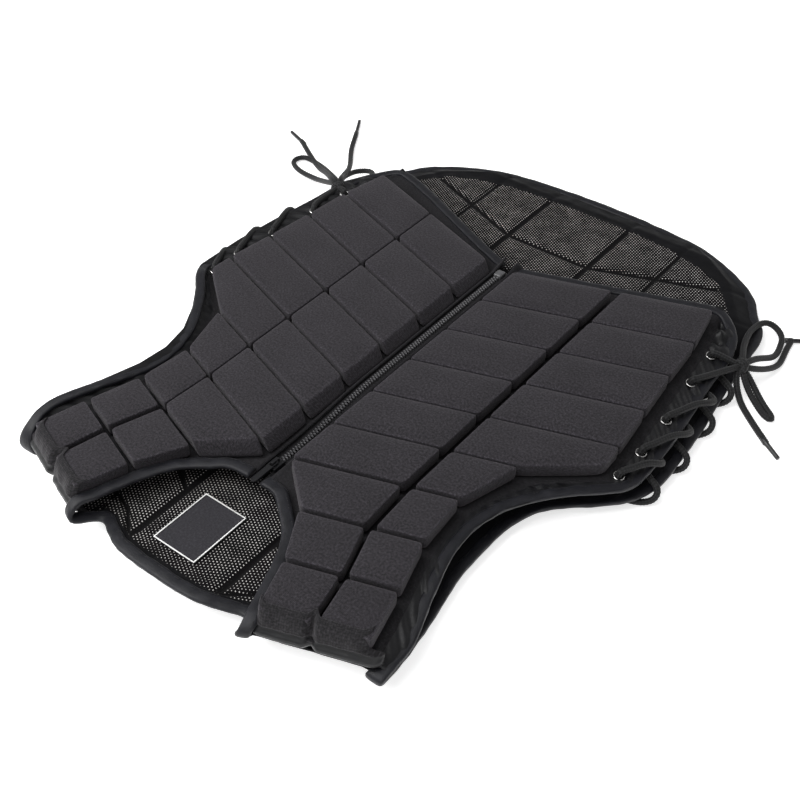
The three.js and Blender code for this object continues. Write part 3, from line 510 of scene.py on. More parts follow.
def smooth_line(points, step):
    """The centripetal curve through the points, in steps of the given length."""
    points = np.asarray(points, float)
    first = points[0] + (points[0] - points[1])
    last = points[-1] + (points[-1] - points[-2])
    padded = np.vstack([first, points, last])
    fine = []
    for i in range(1, len(padded) - 2):
        p0, p1, p2, p3 = padded[i - 1:i + 3]
        gaps = [max(np.linalg.norm(b - a), 1e-6) ** 0.5 for a, b in ((p0, p1), (p1, p2), (p2, p3))]
        t0, t1, t2, t3 = np.cumsum([0.0] + gaps)
        for t in np.linspace(t1, t2, 12, endpoint=False):
            a1 = (t1 - t) / (t1 - t0) * p0 + (t - t0) / (t1 - t0) * p1
            a2 = (t2 - t) / (t2 - t1) * p1 + (t - t1) / (t2 - t1) * p2
            a3 = (t3 - t) / (t3 - t2) * p2 + (t - t2) / (t3 - t2) * p3
            b1 = (t2 - t) / (t2 - t0) * a1 + (t - t0) / (t2 - t0) * a2
            b2 = (t3 - t) / (t3 - t1) * a2 + (t - t1) / (t3 - t1) * a3
            fine.append((t2 - t) / (t2 - t1) * b1 + (t - t1) / (t2 - t1) * b2)
    fine.append(points[-1])
    fine = np.array(fine)
    places = run_along(fine)
    wanted = np.linspace(0, places[-1], max(3, int(round(places[-1] / step)) + 1))
    return np.stack([np.interp(wanted, places, fine[:, k]) for k in range(3)], 1)


def eased(line, times=8):
    """The same line with its turns rounded off, and its ends where they were."""
    for _ in range(times):
        line = np.vstack([line[:1], 0.25 * line[:-2] + 0.5 * line[1:-1] + 0.25 * line[2:], line[-1:]])
    return line


def length_of(line):
    return float(np.linalg.norm(np.diff(line, axis=0), axis=1).sum())


def tube_parts(line, radius, sides=20, start=0, taper=None):
    """Points, faces and map of a closed tube. A tube without a taper is a braid, with its strands raised."""
    ahead, run = headings(line), run_along(line)
    side = np.cross(ahead[0], (0, 0, 1.0))
    if np.linalg.norm(side) < 1e-3:
        side = np.array((1.0, 0, 0))
    points, uvs = [], []
    for i, centre in enumerate(line):
        side = side - ahead[i] * side.dot(ahead[i])
        side /= np.linalg.norm(side)
        lift = np.cross(ahead[i], side)
        for k in range(sides):
            turn = 2 * math.pi * k / sides
            if taper is not None:
                thick = taper[i]
            else:
                wound = 2 * math.pi * BRAID_TURNS * run[i] / 1000
                ways = wound + BRAID_STRANDS * turn, wound - BRAID_STRANDS * turn
                thick = radius + BRAID_RELIEF * math.sin(ways[0]) * math.sin(ways[1])
            points.append(centre + thick * (math.cos(turn) * side + math.sin(turn) * lift))
            uvs.append((run[i], k / sides if k <= sides / 2 else 1 - k / sides))
    faces = grid_faces(len(line), sides, start, closed=True)
    end = start + (len(line) - 1) * sides
    faces.append(tuple(start + k for k in reversed(range(sides))))
    faces.append(tuple(end + k for k in range(sides)))
    return points, faces, uvs


def make_tubes(name, lines, radius, material, sides=20, taper=None):
    points, faces, uvs = [], [], []
    for line in lines:
        p, f, u = tube_parts(np.asarray(line), radius, sides, len(points), taper)
        points += p
        faces += f
        uvs += u
    piece = make_piece(name, points, faces, uvs)
    piece.data.materials.append(material)
    return piece


# %% [markdown]
# ## The bows
#
# Each lace ends in a bow by the hem corner: a knot, two loops and two free ends with moulded tips. The free
# ends are seen whole in the photograph, so their lengths are the photograph's. They lie on the floor after
# falling off the back's edge. Every loop and end is a cord of its own.

# %% Bows
RIGHT_KNOT, LEFT_KNOT = (243, 371, 26), (-229, 366, 36)
RIGHT_LOOPS = [
    [(241, 379, 26), (231, 402, 22), (224, 437, 18), (230, 463, 12), (245, 461, 5.5), (251, 444, 4.5),
     (254, 425, 7),
     (247, 396, 20), (244, 379, 25)],
    [(249, 366, 21), (256, 363, 11.5), (269, 356.5, 4.5), (282, 347.5, 3.2), (289, 345, 3.2),
     (290.5, 349.5, 3.2),
     (285, 352.8, 3.2), (272, 361.8, 4.8), (259, 369, 12), (251, 371, 20)],
]
RIGHT_ENDS = [
    [(248, 376, 23), (257, 397, 12), (261, 420, 4), (257, 446, 3.2), (255, 461, 3.2)],
    [(243, 364, 22), (249, 356, 13), (257, 350, 5), (274, 336, 3.2), (298, 317, 3.2)],
]
RIGHT_TIPS = [(271, 473, 2.2), (314, 307, 2.2)]
LEFT_LOOPS = [
    [(-235, 369, 37), (-258, 381, 25), (-295, 399, 8), (-327, 408, 3.2), (-343, 418, 3.2), (-340, 432, 3.2),
     (-308, 425, 7), (-262, 393, 27), (-234, 371, 39)],
    [(-232, 374, 36), (-245, 392, 28), (-257, 413, 18), (-259, 433, 13), (-247, 443, 13), (-234, 432, 17),
     (-227, 410, 23), (-226, 388, 30)],
]
LEFT_ENDS = [
    [(-236, 368, 40), (-266, 391, 28), (-297, 413, 13), (-327, 434, 4.5), (-363, 457, 3.2)],
    [(-232, 374, 40), (-251, 402, 26), (-272, 436, 12), (-306, 480, 3.6), (-324, 510, 3.2)],
]
LEFT_TIPS = [(-390, 468, 2.2), (-342, 538, 2.2)]


def knot_line(centre, radius, turn):
    """Two turns of lace wound tight round the knot's middle."""
    line = []
    for i in range(30):
        share = i / 29
        angle = turn + 2 * math.pi * 2 * share
        line.append((
            centre[0] + radius * math.cos(angle),
            centre[1] + 0.8 * radius * math.sin(angle) * math.cos(0.5) - 4.5 * (share - 0.5),
            centre[2] + 0.9 * radius * math.sin(angle) * math.sin(1.1) + 1.5 * (share - 0.5),
        ))
    return smooth_line(line, BRAID_STEP)


def free_cord(piece):
    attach(piece, "vest")


def make_bow(side, knot, loops, ends, tips):
    node = "bow_" + side
    turns = [knot_line(knot, 4.2, 0.4), knot_line(knot, 3.4, 2.3)]
    heart = make_tubes("knot_" + side, turns, LACE_RADIUS, lace_braid)
    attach(heart, "vest")
    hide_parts(node)
    for i, loop in enumerate(loops):
        line = eased(smooth_line([knot, *loop, knot], BRAID_STEP), 40)
        run = run_along(line)
        kept = line[(run > 5) & (run < length_of(line) - 5)]
        piece = make_tubes(f"bow_{side}_loop_{i + 1}", [kept], LACE_RADIUS, lace_braid)
        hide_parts(node)
        free_cord(piece)
    for i, (end, tip) in enumerate(zip(ends, tips)):
        line = eased(smooth_line([knot, *end], BRAID_STEP)[3:], 20)
        direction = (np.array(tip) - line[-1]) / np.linalg.norm(np.array(tip) - line[-1])
        aglet = smooth_line([line[-1] - 6 * direction, line[-1], np.array(tip, float)], 2)
        taper = np.interp(np.linspace(0, 1, len(aglet)), [0, 0.22, 0.3, 0.97, 1], [2.5, 2.9, 2.2, 2.0, 1.9])
        cap = make_tubes(f"aglet_{side}_{i + 1}", [aglet], None, aglet_plastic, taper=taper)
        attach(cap, "vest")
        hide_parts(node)
        piece = make_tubes(f"bow_{side}_end_{i + 1}", [line], LACE_RADIUS, lace_braid)
        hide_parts(node)
        free_cord(piece)


make_bow("right", RIGHT_KNOT, RIGHT_LOOPS, RIGHT_ENDS, RIGHT_TIPS)
make_bow("left", LEFT_KNOT, LEFT_LOOPS, LEFT_ENDS, LEFT_TIPS)


# %% [markdown]
# ## How high the cloth lies
#
# The same rules as in the part give the top of the front and of the back at any place, so that everything
# sewn on them, such as eyelets and bindings, can ask for its height.

# %% Heights
def hem_rise(along):
    last = BLOCK_LINES[0, 0]
    return HEM_LIFT * np.clip((along - last) / (FRONT_LENGTH - last), 0, 1)


def front_section(along):
    """Across places and tops of the front cloth on a row line: inner edge, first block, last block, outer edge."""
    if along >= NECK_EDGE[0, 0]:
        fade = np.clip((along - NECK_EDGE[0, 0]) / (NECK_EDGE[0, 0] - NECK_EDGE[1, 0]), 0, 1)
        inner, lift = ZIP_EDGE, max(NECK_EDGE[0, 2] * (1 - fade), hem_rise(along))
    else:
        inner, lift = column(NECK_EDGE, along, 1), column(NECK_EDGE, along, 2)
    lines = np.vstack([BLOCK_LINES[:, [0, 1, 3]], [(ARMHOLE_CORNER[0], out(0.047), ARMHOLE_CORNER[1])]])
    field = hem_rise(along)
    across = [inner, column(lines, along, 1), column(lines, along, 2), column(FRONT_EDGE, along, 1)]
    lifts = [lift, field, field, column(FRONT_EDGE, along, 2)]
    return np.array(across, float), FRONT_TOP + FRONT_PAD * np.array(lifts, float)


def front_top(across, along):
    places, tops = front_section(along)
    return float(np.interp(across, places, tops))


def back_top(across, along):
    half = column(BACK_EDGE, along, 1)
    aside = 0.0
    if along > BACK_EDGE[1, 0]:
        aside = np.clip((abs(across) - (half - BACK_MARGIN)) / BACK_MARGIN, 0, 1)
    astern = np.clip((along - (tail(1) - BACK_MARGIN)) / BACK_MARGIN, 0, 1)
    collar = np.clip((BACK_NECKLINE + COLLAR_WIDTH - along) / COLLAR_WIDTH, 0, 1)
    within = 1 - np.clip((abs(across) - 0.5 * BACK_NECK_HALF) / (0.35 * BACK_NECK_HALF), 0, 1)
    return float(BACK_TOP - EDGE_DROP * max(aside, astern) + COLLAR_RISE * collar * within)


def on_row(across, along):
    return np.array((across, along + ROW_SLOPE * abs(across)))


def flap_rise(along):
    """How far the lacing pulls the left front's outer edge up."""
    return LEFT_RISE * np.interp(along, [neck(1), neck(0.9), 300, 345], [0.3, 1, 1, 0])


def zip_rise(along):
    """How much the closed zip stands up between the blocks, from past the slider to the hem."""
    share = np.clip((along - 45) / 95, 0, 1)
    return ZIP_RISE * share * share * (3 - 2 * share)


def shoulder_drop(along):
    """How far the right front's outer edge comes down to the back's, towards the shoulder."""
    return SHOULDER_DROP * np.clip((neck(0.35) - along) / (neck(0.35) - neck(0.95)), 0, 1)


def hem_sag(across, along):
    """How far the left hem hangs past its row line, most of all at its outer corner."""
    share = np.clip((along - 296) / 60, 0, 1)
    fall = LEFT_SAG * np.interp(across, [20, 150, 205, 240], [0, 1, 0.9, 0.35])
    return fall * share * share * (3 - 2 * share)


def nape_dip(across):
    """How far the back's neckline curves in beside the shoulders."""
    return NAPE_DIP * np.clip((abs(across) - 28) / 44, 0, 1) ** 2


def moved_left(run, distance):
    run = np.asarray(run, float)
    moved = []
    for i, point in enumerate(run):
        before, after = run[max(0, i - 1)], run[min(len(run) - 1, i + 1)]
        normals = []
        for a, b in ((before, point), (point, after)):
            normal = np.array((a[1] - b[1], b[0] - a[0]))
            if np.linalg.norm(normal) > 1e-9:
                normals.append(normal / np.linalg.norm(normal))
        middle = sum(normals) / np.linalg.norm(sum(normals))
        moved.append(point + middle * distance / max(0.5, middle.dot(normals[0])))
    return np.array(moved)


# %% [markdown]
# ## Foam blocks
#
# A block is a slab of closed-cell foam inside the cover cloth. The cloth is pulled down to a seam all round
# it, so the sides stand nearly upright, the rim is tight and the corners are slightly cut. It could be a
# bevelled box, but the seams run slanted and one block has five corners, so each one is a grid on its flat
# top with rings of points that go over the rim and down to the seam. Then a short cloth simulation blows
# all of them up from inside by a millimetre.

# %% Block shape
def inset_corners(corners, insets):
    """Corners of a plan outline, drawn in from each side by that side's own distance."""
    corners = np.asarray(corners, float)
    count = len(corners)
    lines = []
    for i in range(count):
        a, b = corners[i], corners[(i + 1) % count]
        ahead = (b - a) / np.linalg.norm(b - a)
        lines.append((a + insets[i] * np.array((-ahead[1], ahead[0])), ahead))
    made = []
    for i in range(count):
        (p, d), (q, e) = lines[i - 1], lines[i]
        turn = d[0] * e[1] - d[1] * e[0]
        if abs(turn) < 1e-3:
            made.append(q)
        else:
            made.append(p + d * (((q - p)[0] * e[1] - (q - p)[1] * e[0]) / turn))
    return np.array(made)


def spread(corners, s, t):
    """A point inside the outline: s from the inner side to the outer one, t from the shoulder to the hem."""
    inner = corners[0] + (corners[-1] - corners[0]) * t
    outer = corners[1:-1]
    place = t * (len(outer) - 1)
    k = min(int(place), len(outer) - 2)
    far = outer[k] + (outer[k + 1] - outer[k]) * (place - k)
    return inner + (far - inner) * s


def rim_order(columns, rows):
    """Places of a grid's edge, in turn: the shoulder side, the outer side, the hem side and the inner side."""
    order = [(i, 0) for i in range(columns - 1)]
    order += [(columns - 1, j) for j in range(rows - 1)]
    order += [(i, rows - 1) for i in range(columns - 1, 0, -1)]
    order += [(0, j) for j in range(rows - 1, 0, -1)]
    return order


# how far out from the block's side, how high as a share of the foam, how far down the cloth it lies
BLOCK_PROFILE = [(1.2, 1.0, 0.0), (0.4, 0.985, 0.9), (0.1, 0.93, 1.8), (0.0, 0.8, 3.8), (0.05, 0.5, 8.5),
                 (0.4, 0.22, 13), (1.2, 0.0, 17)]
# How strong the painted highlight is on each ring of the profile: most just over the top edge.
RIM_HIGHLIGHTS = [0.35, 1.0, 0.3, 0.0, 0.0, 0.0, 0.0]


def block_parts(corners, sides, foot, height, leans=None, crown=0.7, columns=13, rows=11, seed=0.0):
    leans = leans or [0.0] * len(sides)
    steps_s = np.concatenate([[0, 0.03], np.linspace(0.12, 0.88, columns - 4), [0.97, 1]])
    steps_t = np.concatenate([[0, 0.04], np.linspace(0.14, 0.86, rows - 4), [0.96, 1]])
    points, uvs = [], []
    top = inset_corners(corners, [side + lean + BLOCK_PROFILE[0][0] for side, lean in zip(sides, leans)])
    middle = top.mean(axis=0)
    for t in steps_t:
        for s in steps_s:
            plan = spread(top, s, t)
            swell = crown * (1 - (2 * s - 1) ** 4) * (1 - (2 * t - 1) ** 4)
            dent = 0.22 * ripple(plan[0], plan[1], seed, 17, seed)
            points.append((plan[0], plan[1], foot + height + swell + dent))
            uvs.append(plan)
    order = rim_order(columns, rows)
    ring = [j * columns + i for i, j in order]
    # The painted highlight on the block's top edge, one value for each point.
    rim_highlight = np.zeros(len(points))
    rim_highlight[ring] = RIM_HIGHLIGHTS[0]
    rim_highlight = rim_highlight.tolist()
    corner_places = {0, columns - 1, columns + rows - 2, 2 * columns + rows - 3}
    rings = [ring]
    for k in corner_places:
        place = np.array(points[ring[k]])
        inward = middle - place[:2]
        points[ring[k]] = tuple(place + np.append(inward * 0.8 / np.linalg.norm(inward), -0.1))
    # Each ring's mark is its share of the painted highlight.
    for (drawn, share, down), mark in zip(BLOCK_PROFILE[1:], RIM_HIGHLIGHTS[1:]):
        outline = inset_corners(corners, [side + lean * share + drawn for side, lean in zip(sides, leans)])
        cloth = inset_corners(top, [-down] * len(corners))
        start = len(points)
        for k, (i, j) in enumerate(order):
            plan = spread(outline, steps_s[i], steps_t[j])
            if k in corner_places:
                plan = plan + (middle - plan) * 1.1 / np.linalg.norm(middle - plan)
            pucker = 0.35 * ripple(plan[0], plan[1], share * 9, 7, seed + 3) * (1.15 - share)
            plan = plan + (middle - plan) * pucker / np.linalg.norm(middle - plan)
            points.append((plan[0], plan[1], foot + share * height))
            uvs.append(spread(cloth, steps_s[i], steps_t[j]))
            rim_highlight.append(mark)
        rings.append(list(range(start, start + len(order))))
    faces = grid_faces(rows, columns)
    for upper, lower in zip(rings, rings[1:]):
        count = len(upper)
        for k in range(count):
            n = (k + 1) % count
            faces.append((upper[k], lower[k], lower[n], upper[n]))
    faces.append(tuple(reversed(rings[-1])))
    return np.array(points), faces, np.array(uvs), rings[-1], rim_highlight


# %% [markdown]
# On the wearer's right the two columns of blocks stand apart with a channel of about 8 mm, and on the left they
# nearly touch. The lower rows are under 2 mm apart on the right and 4 mm on the left, and the gaps widen to 4 or
# 5 mm over the chest and shoulders. So each side of a block has its own distance from its seam. Beside the zip
# the cloth slopes down from the rim, so that side leans in.

# %% All front blocks
CHANNEL = {"right": 4.2, "left": 0.65}
ROW_GAPS = {
    "right": [1.3, 0.8, 0.8, 0.85, 0.85, 1.0, 1.9, 2.1, 2.1, 1.3],
    "left": [1.3, 2.0, 2.0, 1.95, 1.9, 1.8, 1.7, 2.4, 2.4, 1.3],
}
ZIP_SIDE = {"right": (1.3, 2.0), "left": (-4.2, 10.5)}
block_names, block_meshes = [], []
for side, hand in SIDES:
    for row in range(9):
        near, far = BLOCK_LINES[row], BLOCK_LINES[row + 1]
        for name, (a, b) in (("inner", (1, 2)), ("outer", (2, 3))):
            corners = [on_row(line[k], line[0]) for line, k in ((far, a), (far, b), (near, b), (near, a))]
            at_channel = CHANNEL[side] if row < 7 else 2.6
            gaps = [ROW_GAPS[side][row + 1], 1.3, ROW_GAPS[side][row], 1.3]
            gaps[1 if name == "inner" else 3] = at_channel
            leans = [0, 0, 0, 0]
            if name == "inner" and row < 7:
                gaps[3], leans[3] = ZIP_SIDE[side]
            if row == ARMHOLE_ROW and name == "outer":
                corners.insert(2, on_row(ARMHOLE_CORNER[1], ARMHOLE_CORNER[0]))
                gaps.insert(1, 1.3)
                leans.insert(1, 0)
            points, faces, uvs, foot, rim_highlight = block_parts(
                corners, gaps, FRONT_TOP + 0.3, FRONT_PAD - 0.4, leans, seed=row * 1.7 + hand + len(name))
            if hand < 0:
                points, uvs, faces = mirrored(points), uvs * (-1, 1), turned_round(faces)
            block_names.append(f"{side}_block_{row + 1}_{name}")
            block_meshes.append((points, faces, uvs, foot, rim_highlight))
print("blocks:", len(block_names))


# %% Blow the blocks up
def simulate_blocks(meshes, push=4.0, frames=12, most=1.2, sideways=0.05):
    """All blocks in one closed-mesh cloth simulation, seams pinned. Gives the moved points of each."""
    points = np.vstack([mesh[0] for mesh in meshes])
    faces, pinned, start = [], [], 0
    for mesh in meshes:
        faces += [tuple(start + i for i in face) for face in mesh[1]]
        pinned += [start + i for i in mesh[3]]
        start += len(mesh[0])
    body = make_piece("blocks_in_air", points, faces)
    body.vertex_groups.new(name="seam").add(pinned, 1.0, "REPLACE")
    cloth = body.modifiers.new("cloth", "CLOTH")
    cloth.settings.use_pressure = True
    cloth.settings.uniform_pressure_force = push
    cloth.settings.vertex_group_mass = "seam"
    cloth.settings.tension_stiffness = 25
    cloth.settings.bending_stiffness = 4
    cloth.settings.effector_weights.gravity = 0
    cloth.collision_settings.use_collision = False
    scene = bpy.context.scene
    for number in range(1, frames + 1):
        scene.frame_set(number)
    seen = body.evaluated_get(bpy.context.evaluated_depsgraph_get())
    moved = np.empty(len(points) * 3)
    seen.data.vertices.foreach_get("co", moved)
    moved = moved.reshape(-1, 3) * 1000 + (0, FRAME_ORIGIN, 0)
    scene.frame_set(1)
    bpy.data.objects.remove(body)
    step = moved - points
    far = np.linalg.norm(step, axis=1)
    step *= np.minimum(1, most / np.maximum(far, 1e-9))[:, None] * (sideways, sideways, 1)
    print("blocks swelled by up to", round(float(far.max()), 2), "mm, kept to", most)
    return np.split(points + step, np.cumsum([len(mesh[0]) for mesh in meshes])[:-1])


swollen = simulate_blocks(block_meshes)
for name, points, (_, faces, uvs, _, rim_highlight) in zip(block_names, swollen, block_meshes):
    # Each block carries its painted highlight as a point mark.
    block = make_piece(name + "_foam", points, faces, uvs, {"rim_highlight": rim_highlight})
    block.data.materials.append(block_cloth)
    add_modifier(block, "SUBSURF", levels=1, render_levels=1)
    settle(block)
    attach(block, "vest")
    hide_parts(name)


# %% [markdown]
# ## Front panels
#
# The cover cloth is one panel on each side that carries the blocks. Between the blocks it is drawn down to
# the seams, and along the flap, the armhole and the hem a satin strip is gathered a little by its binding.
# A grid on the row lines follows the same tables as the CAD wall, and folds are added to its height.

# %% Front cover
def gathers(x, y, pitch, seed):
    """Soft folds across a seam: waves a pitch apart that come and go."""
    wander = 2.2 * ripple(x, y, 0, 34, seed)
    strength = 0.55 + 0.6 * ripple(x, y, 5, 26, seed + 9)
    return strength * math.sin(2 * math.pi * (x + y) / pitch + wander)


PLEAT_CENTRE, PLEAT_AWAY, PLEAT_DEPTH, PLEATS = on_row(out(0.72), front(0.86)), 34, 4.4, 11
STRIP_SHARE = 2.28


def front_cover(hand, seed):
    alongs = np.unique(np.concatenate([
        np.linspace(neck(1), neck(0.055), 44), np.linspace(neck(0.055), FRONT_LENGTH, 130),
    ]))
    slope, crown, flap = np.linspace(0, 1, 5), 1 + np.linspace(0.02, 0.98, 26), 2 + np.linspace(0, 1, 15)
    shares = np.concatenate([slope, crown, flap])
    points, uvs = [], []
    for along in alongs:
        places, tops = front_section(along)
        for share in shares:
            across = np.interp(share, [0, 1, 2, 3], places)
            top = np.interp(share, [0, 1, 2, 3], tops)
            plan = on_row(across, along)
            if hand < 0:
                plan[1] += hem_sag(across, along)
                top += flap_rise(along) * np.clip(share - 2, 0, 1)
            else:
                top -= shoulder_drop(along) * np.clip(share - 2, 0, 1)
            margin = math.sin(math.pi * np.clip(share - 2, 0, 1)) * np.clip((FRONT_LENGTH - along) / 14, 0, 1)
            top += 2.8 * margin * gathers(plan[0], plan[1], 15, seed) * (1.0 if along > 60 else 0.6)
            hem = np.clip((along - BLOCK_LINES[0, 0]) / (FRONT_LENGTH - BLOCK_LINES[0, 0]), 0, 1)
            top += 0.9 * math.sin(math.pi * hem) * gathers(plan[0], -0.4 * plan[1], 13, seed + 4)
            neckside = math.sin(math.pi * np.clip(share, 0, 1)) if along < 0 else 0
            top += 0.8 * neckside * gathers(plan[0], plan[1], 14, seed + 2)
            if along > NECK_EDGE[0, 0]:
                top += zip_rise(along) * np.clip((13 - across) / 6, 0, 1)
                top += 0.9 * math.exp(-((across - ZIP_EDGE - 2.2) / 1.5) ** 2)
            from_centre = plan - PLEAT_CENTRE
            around, away = math.atan2(from_centre[1], from_centre[0]), math.hypot(*from_centre)
            pleated = math.exp(-((away - PLEAT_AWAY) / 13) ** 2) * margin * np.clip((along - 290) / 25, 0, 1)
            wander = 1.2 * ripple(away, around * 30, 0, 18, seed)
            top += PLEAT_DEPTH * pleated * math.sin(around * PLEATS + wander)
            points.append((plan[0], plan[1], top))
            uvs.append(plan)
    faces = grid_faces(len(alongs), len(shares))
    points, uvs = np.array(points), np.array(uvs)
    if hand < 0:
        points, uvs, faces = mirrored(points), uvs * (-1, 1), turned_round(faces)
    return points, faces, uvs, shares


for side, hand in SIDES:
    points, faces, uvs, shares = front_cover(hand, 2.0 + hand)
    cover = make_piece(side + "_front_cover", points, faces, uvs)
    cover.data.materials.append(cover_cloth)
    cover.data.materials.append(strip_satin)
    for face in cover.data.polygons:
        place = (face.vertices[0] if hand > 0 else face.vertices[-1]) % len(shares)
        face.material_index = 1 if shares[place] >= STRIP_SHARE else 0
    add_modifier(cover, "SOLIDIFY", thickness=0.002, offset=-1)
    settle(cover)
    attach(cover, "vest")
    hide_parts(side + "_front_panel")
    print(cover.name, len(cover.data.polygons), "faces")


# %% [markdown]
# ## Shoulder folds
#
# At the shoulder the cloth turns down from the last blocks to the back below. It is one strip round the end
# of the strap: short gathers under the blocks, a crease at the middle and a round satin body under it, with
# a notch where the channel between the two columns ends. It is swept across the strap from one profile.

# %% Shoulder fold
# outward from the fold line, height
FOLD_PROFILE = np.array([
    (-9.5, 49.3), (-7.0, 49.1), (-4.6, 48.2), (-2.4, 46.0), (-0.6, 42.6), (0.8, 39), (1.6, 35.8), (0.2, 33.4),
    (1.2, 31.8), (3.6, 29.6), (4.4, 27), (2.6, 24), (-1.2, 21), (-6, 18), (-12, 14), (-18, 10), (-22, 5.6),
    (-26, 2.4),
])
CREASE = 33.4


def shoulder_fold(hand):
    first, last = NECK_EDGE[-1, 1] + 2, FRONT_EDGE[0, 1] - 3
    block_first, block_last, notch = BLOCK_LINES[9, 1] + 1.4, BLOCK_LINES[9, 3] - 1.4, BLOCK_LINES[9, 2]
    rows = np.linspace(0, len(FOLD_PROFILE) - 1, 66)
    reaches = np.interp(rows, range(len(FOLD_PROFILE)), FOLD_PROFILE[:, 0])
    heights = np.interp(rows, range(len(FOLD_PROFILE)), FOLD_PROFILE[:, 1])
    shares = np.linspace(0, 1, 131)
    ahead = np.array((1, ROW_SLOPE)) / math.hypot(1, ROW_SLOPE)
    outward = np.array((ahead[1], -ahead[0]))
    points, uvs = [], []
    for k, (reach, high) in enumerate(zip(reaches, heights)):
        low_end = np.interp(high, [CREASE, CREASE + 4], [first, block_first])
        high_end = np.interp(high, [CREASE, CREASE + 4], [last, block_last])
        for share in shares:
            across = low_end + share * (high_end - low_end)
            plan = np.array((across, fold(across)))
            depth = np.interp(high, [0, 20, 34, 40], [3.0, 4.5, 4.0, 7.0])
            dip = depth * math.exp(-((across - notch) / 3.4) ** 2)
            free = np.interp(high, [2, 30, 36, 43, 48], [0.3, 0.5, 1.3, 1.3, 0.3])
            folds = 0.75 * ripple(across, 0.45 * high, 0, 11, 7.0)
            folds += 0.35 * ripple(across, 0.3 * high, 0, 4.5, 2.0)
            corner = max(0, 1 - min(across - low_end, high_end - across) / 10)
            round_end = -8 * (1 - math.sqrt(1 - 0.97 * corner * corner))
            points.append((*(plan + outward * (reach + round_end - dip + free * folds)),
                           high + 0.7 * free * ripple(across, high, 2, 9, 1.0)))
            uvs.append((across, 0.8 * k))
    faces = turned_round(grid_faces(len(reaches), len(shares)))
    points, uvs = np.array(points), np.array(uvs)
    if hand < 0:
        points, faces = mirrored(points), turned_round(faces)
    return points, faces, uvs, heights, len(shares)


for side, hand in SIDES:
    points, faces, uvs, heights, width = shoulder_fold(hand)
    strap_end = make_piece(side + "_shoulder_fold", points, faces, uvs)
    strap_end.data.materials.append(strip_satin)
    strap_end.data.materials.append(gather_cloth)
    for face in strap_end.data.polygons:
        face.material_index = 1 if heights[min(face.vertices) // width] > CREASE else 0
    add_modifier(strap_end, "SOLIDIFY", thickness=0.0012, offset=-1)
    settle(strap_end)
    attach(strap_end, "vest")


# %% [markdown]
# ## The back
#
# The back lies on its own foam blocks, so its lining shows them as pads between sewn channels: a straight
# row of pads down the middle and slanting rows beside it. The mesh lining stops short of the edge, where a
# satin strip takes over. Its top is a grid between the two side edges, lowered at each channel, and the
# blocks under it are made like the front ones and turned over.

# %% Back lining
MESH_EDGE = np.array([(-120, 124), (-90, 126), (60, 130), (150, 160), (300, 206), (380, 210), (443, 200),
                      (480, 171), (495, 138), (504, 104), (509, 57), (513, 14), (514, 0)], float)


def channel_depth(across, along):
    """1 in a sewn channel of the back and 0 on a pad."""
    beside = abs(across)
    near = [abs(beside - BACK_MIDDLE), abs(beside - BACK_SIDE)]
    for place, slope in BACK_LINES:
        if beside < BACK_MIDDLE:
            if place != neck(0.267):
                near.append(abs(along - place))
        else:
            near.append(abs(along - place - slope * (beside - BACK_MIDDLE)) * 0.9)
    return math.exp(-(min(near) / 3.0) ** 2)


def back_surface():
    alongs = np.unique(np.concatenate([np.arange(BACK_NECKLINE + 6, 30, 2.0), np.arange(30, 340, 5.0),
                                       np.arange(340, tail(0.995) - 7, 2.0)]))
    shares = np.linspace(-1, 1, 261)
    points, uvs, meshed, sewn = [], [], [], []
    for along in alongs:
        half = max(float(column(BACK_EDGE, along, 1)), out(0.4)) - 7
        if along < fold(out(0.76)):
            half = min(half, (along - neck(1)) / ROW_SLOPE - 4)
            half = max(half, BACK_NECK_HALF + 6)
        mesh_half = min(float(np.interp(along, MESH_EDGE[:, 0], MESH_EDGE[:, 1])), half - 12)
        for share in shares:
            across = share * half
            top = back_top(across, along)
            inside = np.clip((mesh_half - abs(across)) / 8, 0, 1) * np.clip((513 - along) / 8, 0, 1)
            inside *= np.clip((along - BACK_NECKLINE - 13) / 5, 0, 1)
            seam = channel_depth(across, along)
            top -= 3.0 * seam * (0.3 + 0.7 * inside)
            top += 0.35 * ripple(across, along, 0, 22, 3.0)
            top += 0.8 * (1 - inside) * ripple(across, along, 0, 13, 6.0)
            dipped = 0.0
            if abs(across) < BACK_NECK_HALF + 2:
                dipped = nape_dip(across) * np.clip((BACK_NECKLINE + 50 - along) / 50, 0, 1)
            points.append((across, along + dipped, top))
            uvs.append((across, along))
            meshed.append(inside)
            sewn.append(seam * inside)
    return np.array(points), grid_faces(len(alongs), len(shares)), np.array(uvs), meshed, sewn


points, faces, uvs, meshed, sewn = back_surface()
lining = make_piece("back_lining", points, faces, uvs, {"mesh": meshed, "seam": sewn})
lining.data.materials.append(lining_paint)
add_modifier(lining, "SOLIDIFY", thickness=0.0025, offset=-1)
settle(lining)
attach(lining, "vest")
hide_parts("back_panel")
print("lining", len(lining.data.polygons), "faces")


# %% Blocks under the back
def row_reach(line, limit):
    """Where a slanting row line of the back meets the padded edge."""
    place, slope = line
    across = limit
    for _ in range(40):
        padded_half = float(column(BACK_EDGE, place + slope * (across - BACK_MIDDLE), 1)) - BACK_MARGIN
        across = 0.5 * across + 0.5 * min(limit, padded_half)
    return across


